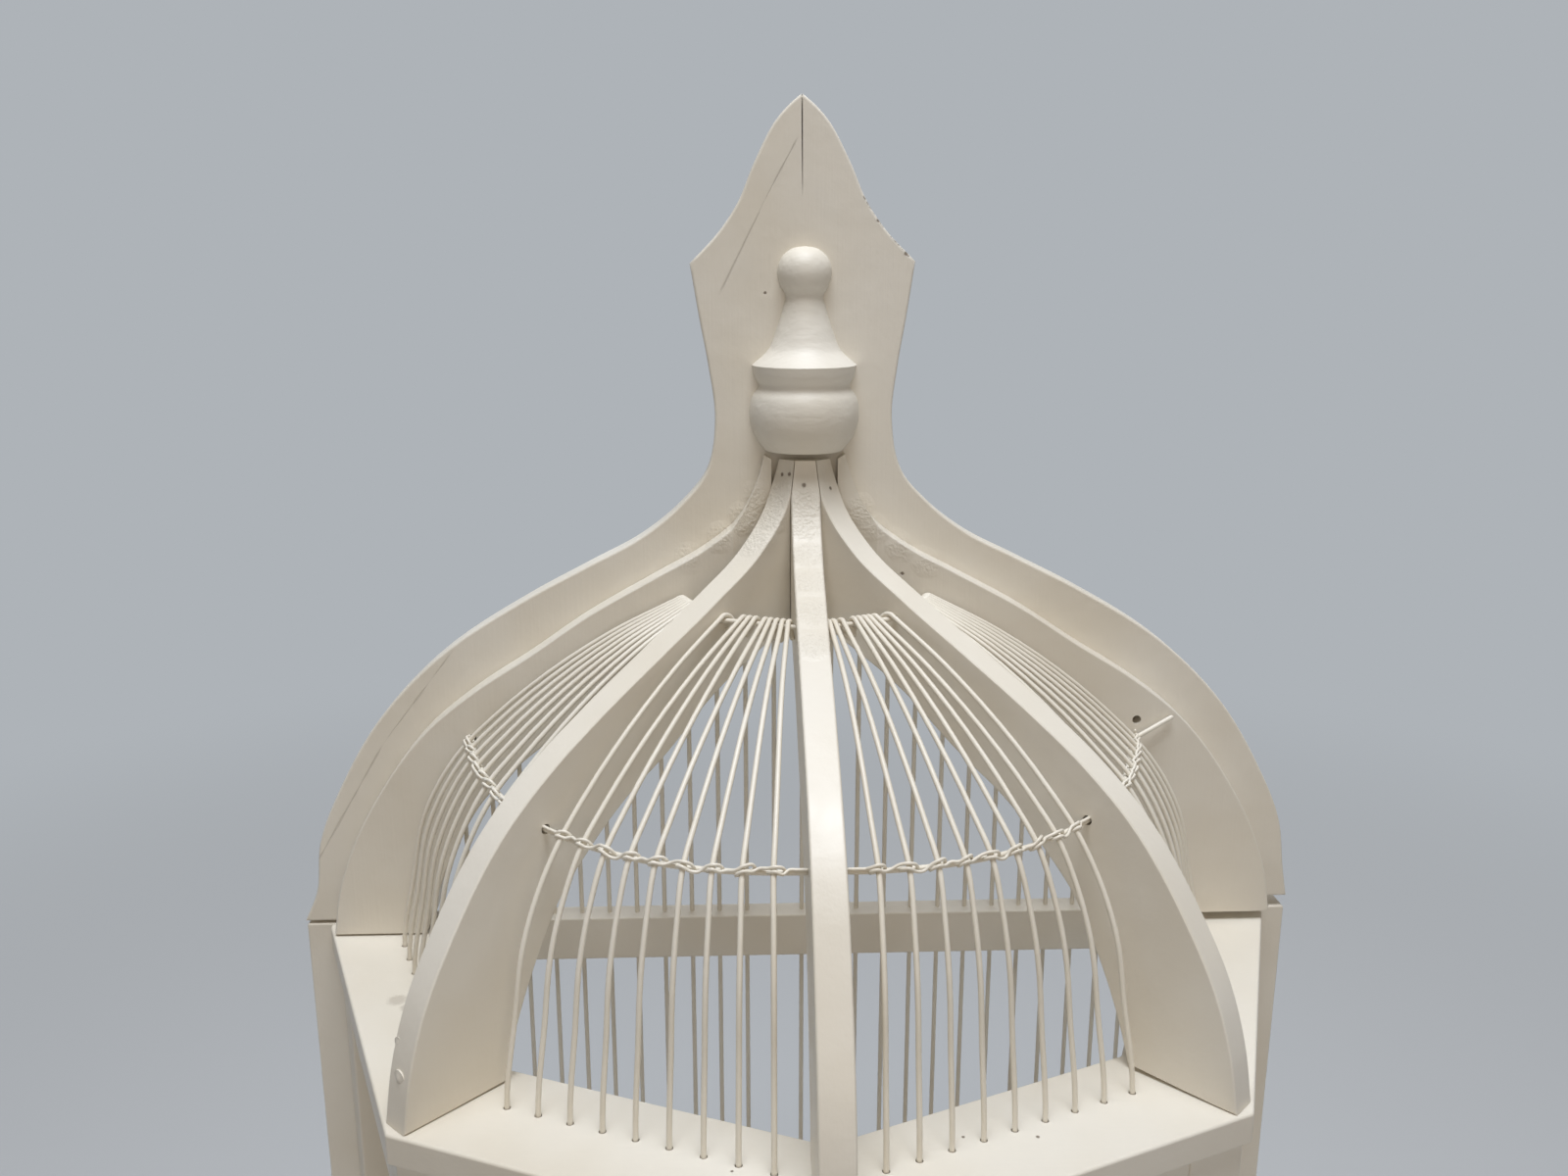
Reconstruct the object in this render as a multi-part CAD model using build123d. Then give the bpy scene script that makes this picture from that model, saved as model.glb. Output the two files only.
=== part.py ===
from build123d import *
import math
import os

# Bird cage that stands against a wall: a half-octagon of wire between corner posts, under a dome of five
# ogee ribs whose wires hook over short wires near the tips, in front of a tall shaped back board.
# +Z is up and the wall is at +Y. The origin is on the underside of the base, on the octagon's axis and
# level with the front face of the back boards. Lengths are in millimetres.

# Driving sizes of the woodwork
board_t = 12.0
back_w = 440.0
body_h = 330.0
stile_w = 55.0
shelf_side = 10.0
shelf_r = back_w / 2 - shelf_side
shelf_w = 47.0
frame_inset = 3.0
back_rail_h = 20.0
back_sill_h = 28.0
post_face_w = 23.0
post_depth = 32.0
rail_t = 16.0
frieze_h = 24.0
sill_h = 28.0

# The dome: the tall back board, the ribs and the turned finial
board_side = 1.0
dome_half_w = back_w / 2 - board_side
dome_h = 346.7
crest_z = 283.1
crest_half_w = 45.1
board_lean = 0.5
board_shift = 1.8
foot_flare = 3.5
board_foot = dome_half_w + foot_flare
rib_setback = 3.7
rib_r = shelf_r - rib_setback
rib_h = 207.0
arch_r = back_w / 2 - stile_w
arch_h = 142.0
rib_tip_r = 2.5
rib_gap = 0.4
rib_lift = 4.0
finial_lift = 3.3
finial_z = rib_h + finial_lift
finial_h = 81.0
finial_r = 22.3

# Wires
wire_d = 2.0
wire_sides = 6
wire_gap = 0.1
hole_gap = 0.05
hole_depth = 5.0
bar_pitch = 12.4
bar_inset = 27.0
foot_margin = 6.0
side_hook_gap = 0.36
front_hook_gap = 0.8
hook_gaps = {"side": side_hook_gap, "front": front_hook_gap}
hook_margin = 0.5
hook_slack = 0.15
tail_len = 5.0
top_wire_inset = 8.2
tie_inset = 16.3
side_tie_bow = 4.0
front_tie_bow = 11.0
tie_bows = {"side": side_tie_bow, "front": front_tie_bow}
tie_run_count = 6
sprung_out = 16.0
sprung_up = 7.0

# Door, its hinges and its turn button
door_h = 150.0
door_gap = 1.0
door_frame_w = 14.0
header_w = 33.0
hinge_len = 30.0
hinge_inset = 16.0
leaf_w = 11.0
leaf_t = 1.0
knuckle_r = 2.5
knuckle_lift = 0.2
knuckle_gap = 0.3
knuckle_count = 3
pin_r = 1.0
pin_end = 1.0
hinge_sides = 12
fit_gap = 0.05
knob_r = 6.5
knob_neck_r = 3.5
knob_len = 14.0
knob_neck_len = 6.0
knob_bevel = 2.0
button_len = 40.0
button_w = 8.0
button_t = 3.0
button_gap = 0.3
button_drop = 40.0
screw_r = 1.5
screw_head_r = 3.5
screw_head_t = 1.8
screw_len = 14.0

# Perch
perch_d = 10.0
perch_rise = 140.0
perch_slot = 4.0
overrun = 5.0

# Outlines, as shares of the sizes that they follow: crest by crest_half_w and the height above crest_z,
# flank by dome_half_w and crest_z, rib and arch by their foot radius and height. Arcs run through the
# points in threes.
crest_shares = [(0, 1.0), (0.073, 0.96), (0.191, 0.879), (0.419, 0.602), (0.571, 0.36), (0.733, 0.195),
                (1.0, 0)]
flank_shares = [(0.19, 0.92), (0.176, 0.857), (0.166, 0.778), (0.186, 0.702), (0.234, 0.657), (0.306, 0.612),
                (0.416, 0.567), (0.53, 0.521), (0.717, 0.427), (0.836, 0.332), (0.915, 0.234),
                (0.972, 0.134), (0.989, 0.05), (1.0, 0)]
rib_shares = [(1.0, 0), (0.984, 0.091), (0.947, 0.203), (0.891, 0.304), (0.773, 0.457), (0.68, 0.533),
              (0.558, 0.609), (0.418, 0.685), (0.276, 0.761), (0.153, 0.837), (0.087, 0.908),
              (0.061, 0.964), (0.051, 1.0)]
arch_shares = [(1.0, 0), (0.968, 0.118), (0.901, 0.296), (0.836, 0.426), (0.748, 0.532), (0.636, 0.636),
               (0.521, 0.713), (0.344, 0.851), (0.147, 0.958), (0.07, 0.99), (0, 1.0)]
tie_r_share = 0.703
knee_pitch_share = 0.79
knee_normal = 39.0
knee_half_turn = 16.0
lower_shares = [(0.18, 0.34), (0.42, 0.68)]
upper_share = (0.7, 0.79)
hook_angles = [95.0, 155.0]
finial_shares = [(0, 1.0), (0.36, 0.965), (0.489, 0.874), (0.345, 0.765), (0.43, 0.66), (0.66, 0.5),
                 (0.951, 0.425), (0.834, 0.321), (1.0, 0.22), (0.93, 0.09), (0.717, 0), (0, 0)]

# Places worked out from the sizes above
side_angle = 45.0
right_angle = 90.0
half_turn = 2 * right_angle
half_angle = math.radians(side_angle / 2)
half_tan = math.tan(half_angle)
half_cos = math.cos(half_angle)
corner_names = ["back_left", "front_left", "centre", "front_right", "back_right"]
corner_angles = [half_turn + side_angle * i for i in range(len(corner_names))]
panel_angles = {"side_left": 202.5, "front_left": 247.5, "front_right": 292.5, "side_right": 337.5}
shelf_flat = shelf_r * half_cos
frame_flat = shelf_flat - frame_inset
bar_flat = shelf_flat - bar_inset
under_shelf = body_h - board_t
opening_half = frame_flat * half_tan - post_face_w
header_z = board_t + sill_h + door_h
wire_r = wire_d / 2
hole_r = wire_r + hole_gap
rib_lean = board_t / 2 / half_cos
back_rib_lean = board_t / half_cos


def at(angle, out, along, z):
    """A point by a direction from the axis, the distance out, the distance along to the left of it, and z."""
    a = math.radians(angle)
    return Vector(out * math.cos(a) - along * math.sin(a), out * math.sin(a) + along * math.cos(a), z)


def facing(angle, out=0, along=0, z=0):
    """A plane that faces outwards: its x runs along the panel, its y up."""
    outward = at(angle, 1, 0, 0)
    left = at(angle, 0, 1, 0)
    return Plane(at(angle, out, along, z), x_dir=left, z_dir=outward)


def slab(angle, out, along, z):
    """A board between two distances out from the axis, two along the panel and two heights."""
    size = (along[1] - along[0], z[1] - z[0], out[1] - out[0])
    middle = facing(angle, out[0], (along[0] + along[1]) / 2, (z[0] + z[1]) / 2)
    return middle * Box(*size, align=(Align.CENTER, Align.CENTER, Align.MIN))


def rod(start, end, radius, sides=0):
    """A straight rod between two points, round or with the given number of sides."""
    run = Vector(end) - Vector(start)
    section = RegularPolygon(radius, sides) if sides else Circle(radius)
    return Solid.extrude(Plane(start, z_dir=run) * section.face(), run)


def wire_rod(start, end):
    """A straight wire. Wires are cut to six sides whose corners lie on the round of the real wire."""
    return rod(start, end, wire_r, wire_sides)


def wire_hole(start, end):
    """The hole for a wire, six-sided too, which clears the round wire by the hole's gap."""
    return rod(start, end, hole_r / math.cos(math.pi / wire_sides), wire_sides)


def bent_wire(points):
    """A wire along straight runs with mitred corners."""
    path = Polyline(*points)
    section = Plane(points[0], z_dir=path % 0) * RegularPolygon(wire_r, wire_sides)
    return sweep(section, path=path, transition=Transition.RIGHT)


def arcs_through(points):
    """Arcs through the points, three at a time, each from the end of the last."""
    return Wire([ThreePointArc(*points[i:i + 3]) for i in range(0, len(points) - 2, 2)])


def scaled(shares, width, height, base=0):
    return [(x * width, base + y * height) for x, y in shares]


def height_at(curve, x):
    """The height of a curve of falling or rising x at one x, by halving."""
    low, high = (0, 1) if (curve @ 0).X > (curve @ 1).X else (1, 0)
    for _ in range(halvings):
        middle = (low + high) / 2
        if (curve @ middle).X > x:
            low = middle
        else:
            high = middle
    return (curve @ low).Y


halvings = 40
rib_curve = arcs_through(scaled(rib_shares, rib_r, rib_h))
arch_curve = arcs_through(scaled(arch_shares, arch_r, arch_h))


def panel_ends(name, out):
    """How far a panel runs each way along itself, to the faces of the ribs at its two ends."""
    reach = out * half_tan
    low = back_rib_lean if name == "side_left" else rib_lean
    high = back_rib_lean if name == "side_right" else rib_lean
    return -(reach - low), reach - high


def panel_middle(name):
    low, high = panel_ends(name, bar_flat)
    return (low + high) / 2


side_span = 2 * bar_flat * half_tan - rib_lean - back_rib_lean
bar_count = math.ceil((side_span - wire_d - 2 * foot_margin) / bar_pitch)
hook_r = wire_d + hook_slack
side_hooks = bar_count * (wire_d + hook_gaps["side"]) + 2 * hook_margin
top_flat = (side_hooks + rib_lean + back_rib_lean) / (2 * half_tan) + hook_r
top_z = body_h + height_at(rib_curve, top_flat / half_cos) - top_wire_inset
tie_flat = rib_r * tie_r_share * half_cos
tie_z = body_h + height_at(rib_curve, rib_r * tie_r_share) - tie_inset


def tie_point(name, along):
    """The bowed tie wire: a parabola over the panel's width."""
    low, high = panel_ends(name, tie_flat)
    share = (2 * along - low - high) / (high - low)
    return Vector(tie_flat + tie_bows[name.split("_")[0]] * (1 - share ** 2), along, tie_z)


def bar_steps():
    return [i - (bar_count - 1) / 2 for i in range(bar_count)]


def bar_along(name, step):
    return panel_middle(name) + step * bar_pitch


def knee_along(name, step):
    return panel_middle(name) + step * bar_pitch * knee_pitch_share


def upward(angle):
    """A unit vector in a panel's upright plane: 0 points outwards and a right angle points up."""
    a = math.radians(angle)
    return Vector(math.cos(a), 0, math.sin(a))


def part_way(start, end, level_share, rise_share):
    """A point that has gone one share of the way along the level and another share of the way up."""
    run = end - start
    return start + Vector(run.X * level_share, run.Y * level_share, run.Z * rise_share)


def shelf_bar(name, step):
    """One wire of the dome: up from the shelf, out over the tie wire and hooked over the top wire."""
    angle = panel_angles[name]
    middle = panel_middle(name)
    hook_pitch = wire_d + hook_gaps[name.split("_")[0]]
    foot = Vector(bar_flat, middle + step * bar_pitch, body_h)
    knee_r = (wire_d + wire_gap) / math.cos(math.radians(knee_half_turn))
    knee = tie_point(name, knee_along(name, step)) + upward(knee_normal) * knee_r
    turn = hook_angles[-1] - hook_angles[0]
    corner_r = hook_r / math.cos(math.radians(turn / 2))
    centre = Vector(top_flat, middle + step * hook_pitch, top_z)
    hook = [centre + upward(a) * corner_r for a in hook_angles]
    lower = [part_way(foot, knee, *shares) for shares in lower_shares]
    upper = part_way(knee, hook[0], *upper_share)
    tail = hook[-1] + upward(hook_angles[-1] + turn / 2 + right_angle) * tail_len
    start = foot - Vector(0, 0, hole_depth)
    return bent_wire([at(angle, p.X, p.Y, p.Z) for p in [start, foot, *lower, knee, upper, *hook, tail]])


def top_wire_ends(name):
    """The two ends of a top wire, one hole's depth inside the ribs."""
    low, high = panel_ends(name, top_flat)
    angle = panel_angles[name]
    return at(angle, top_flat, low - hole_depth, top_z), at(angle, top_flat, high + hole_depth, top_z)


def tie_hole(name, end):
    """The mouth and the bottom of the hole for one end of a tie wire, in line with the bowed wire."""
    low, high = panel_ends(name, tie_flat)
    slope = 4 * tie_bows[name.split("_")[0]] / (high - low)
    along = high if end > 0 else low
    angle = panel_angles[name]
    bottom = at(angle, tie_flat - slope * hole_depth, along + end * hole_depth, tie_z)
    return at(angle, tie_flat, along, tie_z), bottom


def octagon(flat_r):
    """Half an octagon in front of y = 0, given from its axis to the middle of its sides."""
    corners = [at(a, flat_r / half_cos, 0, 0) for a in corner_angles]
    return make_face(Polyline(*[(p.X, p.Y) for p in corners], close=True))


def make_shelf():
    ring = octagon(shelf_flat) - octagon(shelf_flat - shelf_w)
    shelf = Pos(0, 0, under_shelf) * extrude(ring, amount=board_t)
    holes = [wire_hole(at(a, bar_flat, bar_along(name, step), under_shelf - overrun),
                       at(a, bar_flat, bar_along(name, step), body_h + overrun))
             for name, a in panel_angles.items() for step in bar_steps()]
    return shelf - holes


def make_base():
    half = back_w / 2
    strip = Pos(0, board_t / 2) * Rectangle(back_w, board_t)
    base = extrude(octagon(shelf_flat) + strip, amount=board_t)
    holes = [hole for name in panel_angles if name != "front_right" for hole in wire_mouths(name)]
    return base - holes


def make_post(angle):
    """A corner post: two faces that follow the octagon, with its sides cut square to them."""
    corner = frame_flat * half_tan
    side = corner - post_face_w
    depths = (frame_flat - post_depth, frame_flat)
    edges = []
    if angle > corner_angles[0]:
        edges.append([at(angle - side_angle / 2, out, side, 0) for out in depths])
    edges.append([at(angle, out / half_cos, 0, 0) for out in depths])
    if angle < corner_angles[-1]:
        edges.append([at(angle + side_angle / 2, out, -side, 0) for out in depths])
    points = [edge[1] for edge in edges] + [edge[0] for edge in reversed(edges)]
    outline = make_face(Polyline(*[(p.X, p.Y) for p in points], close=True))
    return Pos(0, 0, board_t) * extrude(outline, amount=under_shelf - board_t)


def make_rail(angle, low, high):
    """A rail between two corner posts, flush with their faces."""
    return slab(angle, (frame_flat - rail_t, frame_flat), (-opening_half, opening_half), (low, high))


def make_rib(angle):
    """An ogee rib cut to its wedge of the half circle, so that the five tips close round the axis."""
    sweep_in = arcs_through(scaled(arch_shares[:-2], arch_r, arch_h))
    tip_side = Polyline(sweep_in @ 1, (rib_tip_r, arch_h), (rib_tip_r, rib_h), rib_curve @ 1)
    foot_side = Line(rib_curve @ 0, sweep_in @ 0)
    outline = make_face([*rib_curve.edges(), *sweep_in.edges(), *tip_side.edges(), foot_side])
    back = -board_t / 2 if angle in (corner_angles[0], corner_angles[-1]) else 0
    plane = Plane((0, back, body_h), x_dir=at(angle, 1, 0, 0), z_dir=at(angle, 0, -1, 0))
    rib = extrude(plane * outline, amount=board_t / 2, both=True)
    tip = at(angle, rib_gap / 2 / math.sin(half_angle), 0, body_h)
    reach = 2 * shelf_r
    far = [tip + at(angle + turn, reach, 0, 0) for turn in (-side_angle / 2, side_angle / 2)]
    wedge = make_face(Polyline((tip.X, tip.Y), (far[0].X, far[0].Y), (far[1].X, far[1].Y), close=True))
    rib = rib & (Pos(0, 0, body_h) * extrude(wedge, amount=dome_h))
    return rib


def arch_opening():
    """The arched opening through both halves of the back board."""
    sides = [Line(arch_curve @ 1, (0, 0)), Line((0, 0), arch_curve @ 0)]
    half = extrude(Plane.XZ * make_face([*arch_curve.edges(), *sides]), amount=-board_t)
    return Pos(0, 0, body_h) * (half + mirror(half, about=Plane.YZ))


def make_dome_board(side):
    """One half of the tall back board, with an ogee flank and a crest to a blunt point.

    The board leans to the left about its left foot, which flares, so its right foot is off the frame.
    """
    foot = (board_foot if side < 0 else dome_half_w, 0)
    crest = arcs_through(scaled(crest_shares, crest_half_w, dome_h - crest_z, crest_z))
    flank = arcs_through([(crest_half_w, crest_z), *scaled(flank_shares[:-1], dome_half_w, crest_z), foot])
    straight = [Line((0, 0), crest @ 0), Line(foot, (0, 0))]
    half = extrude(Plane.XZ * make_face([*crest.edges(), *flank.edges(), *straight]), amount=-board_t)
    if side < 0:
        half = mirror(half, about=Plane.YZ)
    leaning = Rot(0, -board_lean, 0) * Pos(board_foot, 0, 0) * half
    return Pos(board_shift - board_foot, 0, body_h) * leaning - arch_opening()


def make_finial():
    """The turned finial, split down its middle so that its flat back lies on the dome board."""
    z = body_h + finial_z
    outline = make_face(Polyline(*scaled(finial_shares, finial_r, finial_h, z), close=True))
    half = Plane.XZ * outline
    return revolve(half, axis=Axis((0, 0, 0), (0, 0, -1)), revolution_arc=half_turn)


def make_back_wires():
    """The upright wires in the plane of the back boards, from the sill up into the edge of the arch."""
    low = board_t + back_sill_h - hole_depth
    rods = []
    mouths = []
    count = int((arch_r - foot_margin) / bar_pitch)
    for x in [i * bar_pitch for i in range(-count, count + 1)]:
        top = body_h + height_at(arch_curve, abs(x)) + hole_depth
        rods.append(wire_rod((x, board_t / 2, low), (x, board_t / 2, top)))
        mouths.append(wire_hole((x, board_t / 2, low), (x, board_t / 2, top + hole_gap)))
    return rods, mouths


def make_tie_wire(name):
    """The wire behind a panel's bars, bowed outwards, with its ends in the ribs' holes."""
    angle = panel_angles[name]
    low, high = panel_ends(name, tie_flat)
    sprung = name == "side_right"
    last = knee_along(name, bar_steps()[-1]) + wire_d if sprung else high
    bowed = [tie_point(name, low + (last - low) * i / tie_run_count) for i in range(1, tie_run_count)]
    mouth, bottom = tie_hole(name, -1)
    points = [bottom, mouth] + [at(angle, p.X, p.Y, p.Z) for p in bowed]
    if sprung:
        bend = at(angle, tie_point(name, last).X, last, tie_z)
        end_out = tie_flat + sprung_out
        free_end = at(angle, end_out, end_out * half_tan - back_rib_lean - wire_d, tie_z + sprung_up)
        return bent_wire(points + [bend, free_end])
    mouth, bottom = tie_hole(name, 1)
    return bent_wire(points + [mouth, bottom])


def door_leaf_parts(angle):
    """The door between the centre post and the front right post, hung on two butt hinges."""
    low = board_t + sill_h + door_gap
    high = header_z - door_gap
    half = opening_half - door_gap
    inner = half - door_frame_w
    out = (frame_flat - board_t, frame_flat)
    parts = {
        "door_stile_left": slab(angle, out, (-half, -inner), (low, high)),
        "door_stile_right": slab(angle, out, (inner, half), (low, high)),
    }
    gaps = math.ceil(2 * inner / bar_pitch)
    wires = []
    holes = []
    for i in range(1, gaps):
        along = -inner + 2 * inner * i / gaps
        foot = at(angle, frame_flat - board_t / 2, along, low + door_frame_w - hole_depth)
        head = at(angle, frame_flat - board_t / 2, along, high - door_frame_w + hole_depth)
        wires.append(wire_rod(foot, head))
        holes.append(wire_hole(foot, head))
    parts["door_rail_top"] = slab(angle, out, (-inner, inner), (high - door_frame_w, high)) - holes
    parts["door_rail_bottom"] = slab(angle, out, (-inner, inner), (low, low + door_frame_w)) - holes
    parts["door_bars"] = Compound(wires)
    return parts


def hinge_parts(angle):
    """Two butt hinges on the faces of the door and its post: three knuckles each, round one pin."""
    along = opening_half - door_gap / 2
    out = frame_flat + knuckle_r + knuckle_lift
    door_leaves = []
    post_leaves = []
    pins = []
    third = hinge_len / knuckle_count
    for middle in (board_t + sill_h + hinge_inset + hinge_len / 2, header_z - hinge_inset - hinge_len / 2):
        low = middle - hinge_len / 2
        plate_out = (frame_flat, frame_flat + leaf_t)
        near = knuckle_r + knuckle_gap
        ends = [at(angle, out, along, z) for z in (low - pin_end, low + hinge_len + pin_end)]
        pin = rod(*ends, pin_r, hinge_sides)
        bore = rod(*ends, (pin_r + fit_gap) / math.cos(math.pi / hinge_sides), hinge_sides)
        knuckles = []
        for i in range(knuckle_count):
            z = (low + third * i + knuckle_gap / 2, low + third * (i + 1) - knuckle_gap / 2)
            barrel = rod(at(angle, out, along, z[0]), at(angle, out, along, z[1]), knuckle_r, hinge_sides)
            side = -1 if i == 1 else 1
            tongue = sorted((along, along + side * near))
            knuckles.append(barrel + slab(angle, plate_out, tongue, z))
        door_plate = slab(angle, plate_out, (along - near - leaf_w, along - near), (low, low + hinge_len))
        post_plate = slab(angle, plate_out, (along + near, along + near + leaf_w), (low, low + hinge_len))
        door_leaves.append(door_plate + knuckles[1] - bore)
        post_leaves.append(post_plate + knuckles[0] + knuckles[2] - bore)
        pins.append(pin)
    return {"hinge_leaves_door": Compound(door_leaves), "hinge_leaves_post": Compound(post_leaves),
            "hinge_pins": Compound(pins)}


def make_knob(angle):
    """The door's turned knob, on its free stile at half height."""
    along = -(opening_half - door_gap - door_frame_w / 2)
    plane = facing(angle, frame_flat, along, (board_t + sill_h + header_z) / 2)
    neck = [(0, knob_len), (0, 0), (knob_neck_r, 0), (knob_neck_r, knob_neck_len)]
    head = [(knob_r, knob_neck_len), (knob_r, knob_len - knob_bevel), (knob_r - knob_bevel, knob_len)]
    outline = make_face(Polyline(*neck, *head, close=True))
    return plane * revolve(Plane.XZ * outline, axis=Axis.Z)


def button_parts(angle):
    """The turn button on the centre post, upright when the door is free, and its screw."""
    along = -(opening_half + post_face_w / 2 - screw_head_r)
    z = header_z - button_drop
    face = facing(angle, frame_flat + button_gap, along, z)
    bar = chamfer(Rectangle(button_w, button_len).vertices(), button_w / 4)
    button = extrude(face * (bar - Circle(screw_r + fit_gap)), amount=button_t)
    head_out = frame_flat + button_gap + button_t + fit_gap
    shank = rod(at(angle, head_out - screw_len, along, z), at(angle, head_out, along, z), screw_r)
    head = extrude(facing(angle, head_out, along, z) * Circle(screw_head_r), amount=screw_head_t)
    pilot = rod(at(angle, head_out - screw_len, along, z), at(angle, head_out, along, z), screw_r)
    return button, shank + head, pilot


def make_perch():
    """A round perch across the cage, slotted at its ends over the middle wires of the two side panels."""
    foot = at(panel_angles["side_right"], bar_flat, bar_along("side_right", 0), board_t + perch_rise)
    half = foot.X + perch_slot / 2
    perch = rod((-half, foot.Y, foot.Z), (half, foot.Y, foot.Z), perch_d / 2)
    slot = Box(2 * perch_slot, wire_d + 2 * wire_gap, 2 * perch_d)
    return perch - [Pos(side * half, foot.Y, foot.Z) * slot for side in (-1, 1)]


def body_bar_feet(name):
    """Where the body's wires stand: in the base, or over the door in its header."""
    return header_z + board_t if name == "front_right" else board_t


def make_body_wires(name):
    """The straight wires under the shelf, which meet the dome's wires end to end in the shelf's holes."""
    angle = panel_angles[name]
    low = body_bar_feet(name) - hole_depth
    high = body_h - hole_depth - hole_gap
    feet = [(bar_flat, bar_along(name, step)) for step in bar_steps()]
    return Compound([wire_rod(at(angle, *foot, low), at(angle, *foot, high)) for foot in feet])


def wire_mouths(name):
    """The holes that take a panel's body wires at their feet."""
    angle = panel_angles[name]
    top = body_bar_feet(name)
    feet = [(bar_flat, bar_along(name, step)) for step in bar_steps()]
    return [wire_hole(at(angle, *foot, top - hole_depth), at(angle, *foot, top + overrun)) for foot in feet]


def dome_parts():
    """The back board, the ribs, the finial and the dome's wires."""
    rods, mouths = make_back_wires()
    rib_holes = []
    for name in panel_angles:
        rib_holes.append(wire_hole(*top_wire_ends(name)))
        for end in (-1, 1):
            mouth, bottom = tie_hole(name, end)
            rib_holes.append(wire_hole(mouth - (bottom - mouth), bottom))
    parts = {"rib_" + name: make_rib(angle) - rib_holes for name, angle in zip(corner_names, corner_angles)}
    parts["rib_back_right"] -= Pos(shelf_r, 0, body_h) * Box(2 * arch_r, 4 * board_t, 2 * rib_lift)
    parts["dome_board_left"] = make_dome_board(-1) - mouths
    parts["dome_board_right"] = make_dome_board(1) - mouths
    parts["crest_finial"] = make_finial()
    parts["top_wires"] = Compound([wire_rod(*top_wire_ends(name)) for name in panel_angles])
    parts["tie_wires"] = Compound([make_tie_wire(name) for name in panel_angles])
    parts["back_wires"] = Compound(rods)
    for name in panel_angles:
        parts["dome_wires_" + name] = Compound([shelf_bar(name, step) for step in bar_steps()])
    return parts


def body_parts():
    """The base, the shelf, the posts and rails between them, the back frame and the body's wires."""
    parts = {"shelf": make_shelf(), "base_plate": make_base()}
    for name, angle in zip(corner_names, corner_angles):
        parts["post_" + name] = make_post(angle)
    for name, angle in panel_angles.items():
        parts["frieze_" + name] = make_rail(angle, under_shelf - frieze_h, under_shelf)
        parts["sill_" + name] = make_rail(angle, board_t, board_t + sill_h)
        parts["body_wires_" + name] = make_body_wires(name)
    for name, side in (("left", -1), ("right", 1)):
        middle = Pos(side * (back_w - stile_w) / 2, board_t / 2, (board_t + body_h) / 2)
        parts["back_stile_" + name] = middle * Box(stile_w, board_t, body_h - board_t)
    between = back_w - 2 * stile_w
    _, mouths = make_back_wires()
    rail = Pos(0, board_t / 2, body_h - back_rail_h / 2) * Box(between, board_t, back_rail_h)
    sill = Pos(0, board_t / 2, board_t + back_sill_h / 2) * Box(between, board_t, back_sill_h)
    parts["back_rail"] = rail - mouths
    parts["back_sill"] = sill - mouths
    parts["perch"] = make_perch()
    return parts


def door_parts():
    """The door with its hinges, knob and turn button, and the header over it."""
    angle = panel_angles["front_right"]
    parts = door_leaf_parts(angle)
    depth = (frame_flat - header_w, frame_flat)
    header = slab(angle, depth, (-opening_half, opening_half), (header_z, header_z + board_t))
    parts["door_header"] = header - wire_mouths("front_right")
    parts.update(hinge_parts(angle))
    parts["door_knob"] = make_knob(angle)
    parts["turn_button"], parts["button_screw"], pilot = button_parts(angle)
    return parts, pilot


def build_cage():
    """Every piece by its name."""
    parts = {**dome_parts(), **body_parts()}
    door, pilot = door_parts()
    parts.update(door)
    parts["post_centre"] -= pilot
    return parts


os.makedirs("parts", exist_ok=True)
for name, piece in build_cage().items():
    export_step(piece, "parts/" + name + ".step")
print("wires in each panel:", bar_count)
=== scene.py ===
import math
from functools import partial
import bmesh
import bpy
import numpy as np
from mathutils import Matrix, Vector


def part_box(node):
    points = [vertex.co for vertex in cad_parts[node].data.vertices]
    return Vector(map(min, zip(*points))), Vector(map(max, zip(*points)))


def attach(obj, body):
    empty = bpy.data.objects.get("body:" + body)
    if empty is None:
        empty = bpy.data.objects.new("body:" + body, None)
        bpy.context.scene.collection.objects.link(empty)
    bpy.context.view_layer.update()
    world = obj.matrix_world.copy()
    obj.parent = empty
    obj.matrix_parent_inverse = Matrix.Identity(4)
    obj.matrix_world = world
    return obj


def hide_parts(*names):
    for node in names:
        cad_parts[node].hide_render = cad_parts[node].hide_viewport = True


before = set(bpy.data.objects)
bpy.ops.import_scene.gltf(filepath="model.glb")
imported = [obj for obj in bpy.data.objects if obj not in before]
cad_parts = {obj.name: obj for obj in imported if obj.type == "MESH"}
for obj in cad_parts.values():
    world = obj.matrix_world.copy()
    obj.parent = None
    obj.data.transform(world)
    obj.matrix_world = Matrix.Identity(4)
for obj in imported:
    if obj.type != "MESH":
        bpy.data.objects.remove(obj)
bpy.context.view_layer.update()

# Painted bird cage: a half-octagon of wire between corner posts, under a dome of five ogee ribs whose wires
# hook over short wires near the tips, in front of a tall shaped back board. Shapes are worked out in
# millimetres and put into the meshes in metres. +Z is up and the wall is at +Y.
MM = 0.001


def frame_box(node):
    """Lowest and highest corner of a node of the frame, in millimetres."""
    low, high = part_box(node)
    return np.array(low) / MM, np.array(high) / MM


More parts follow.
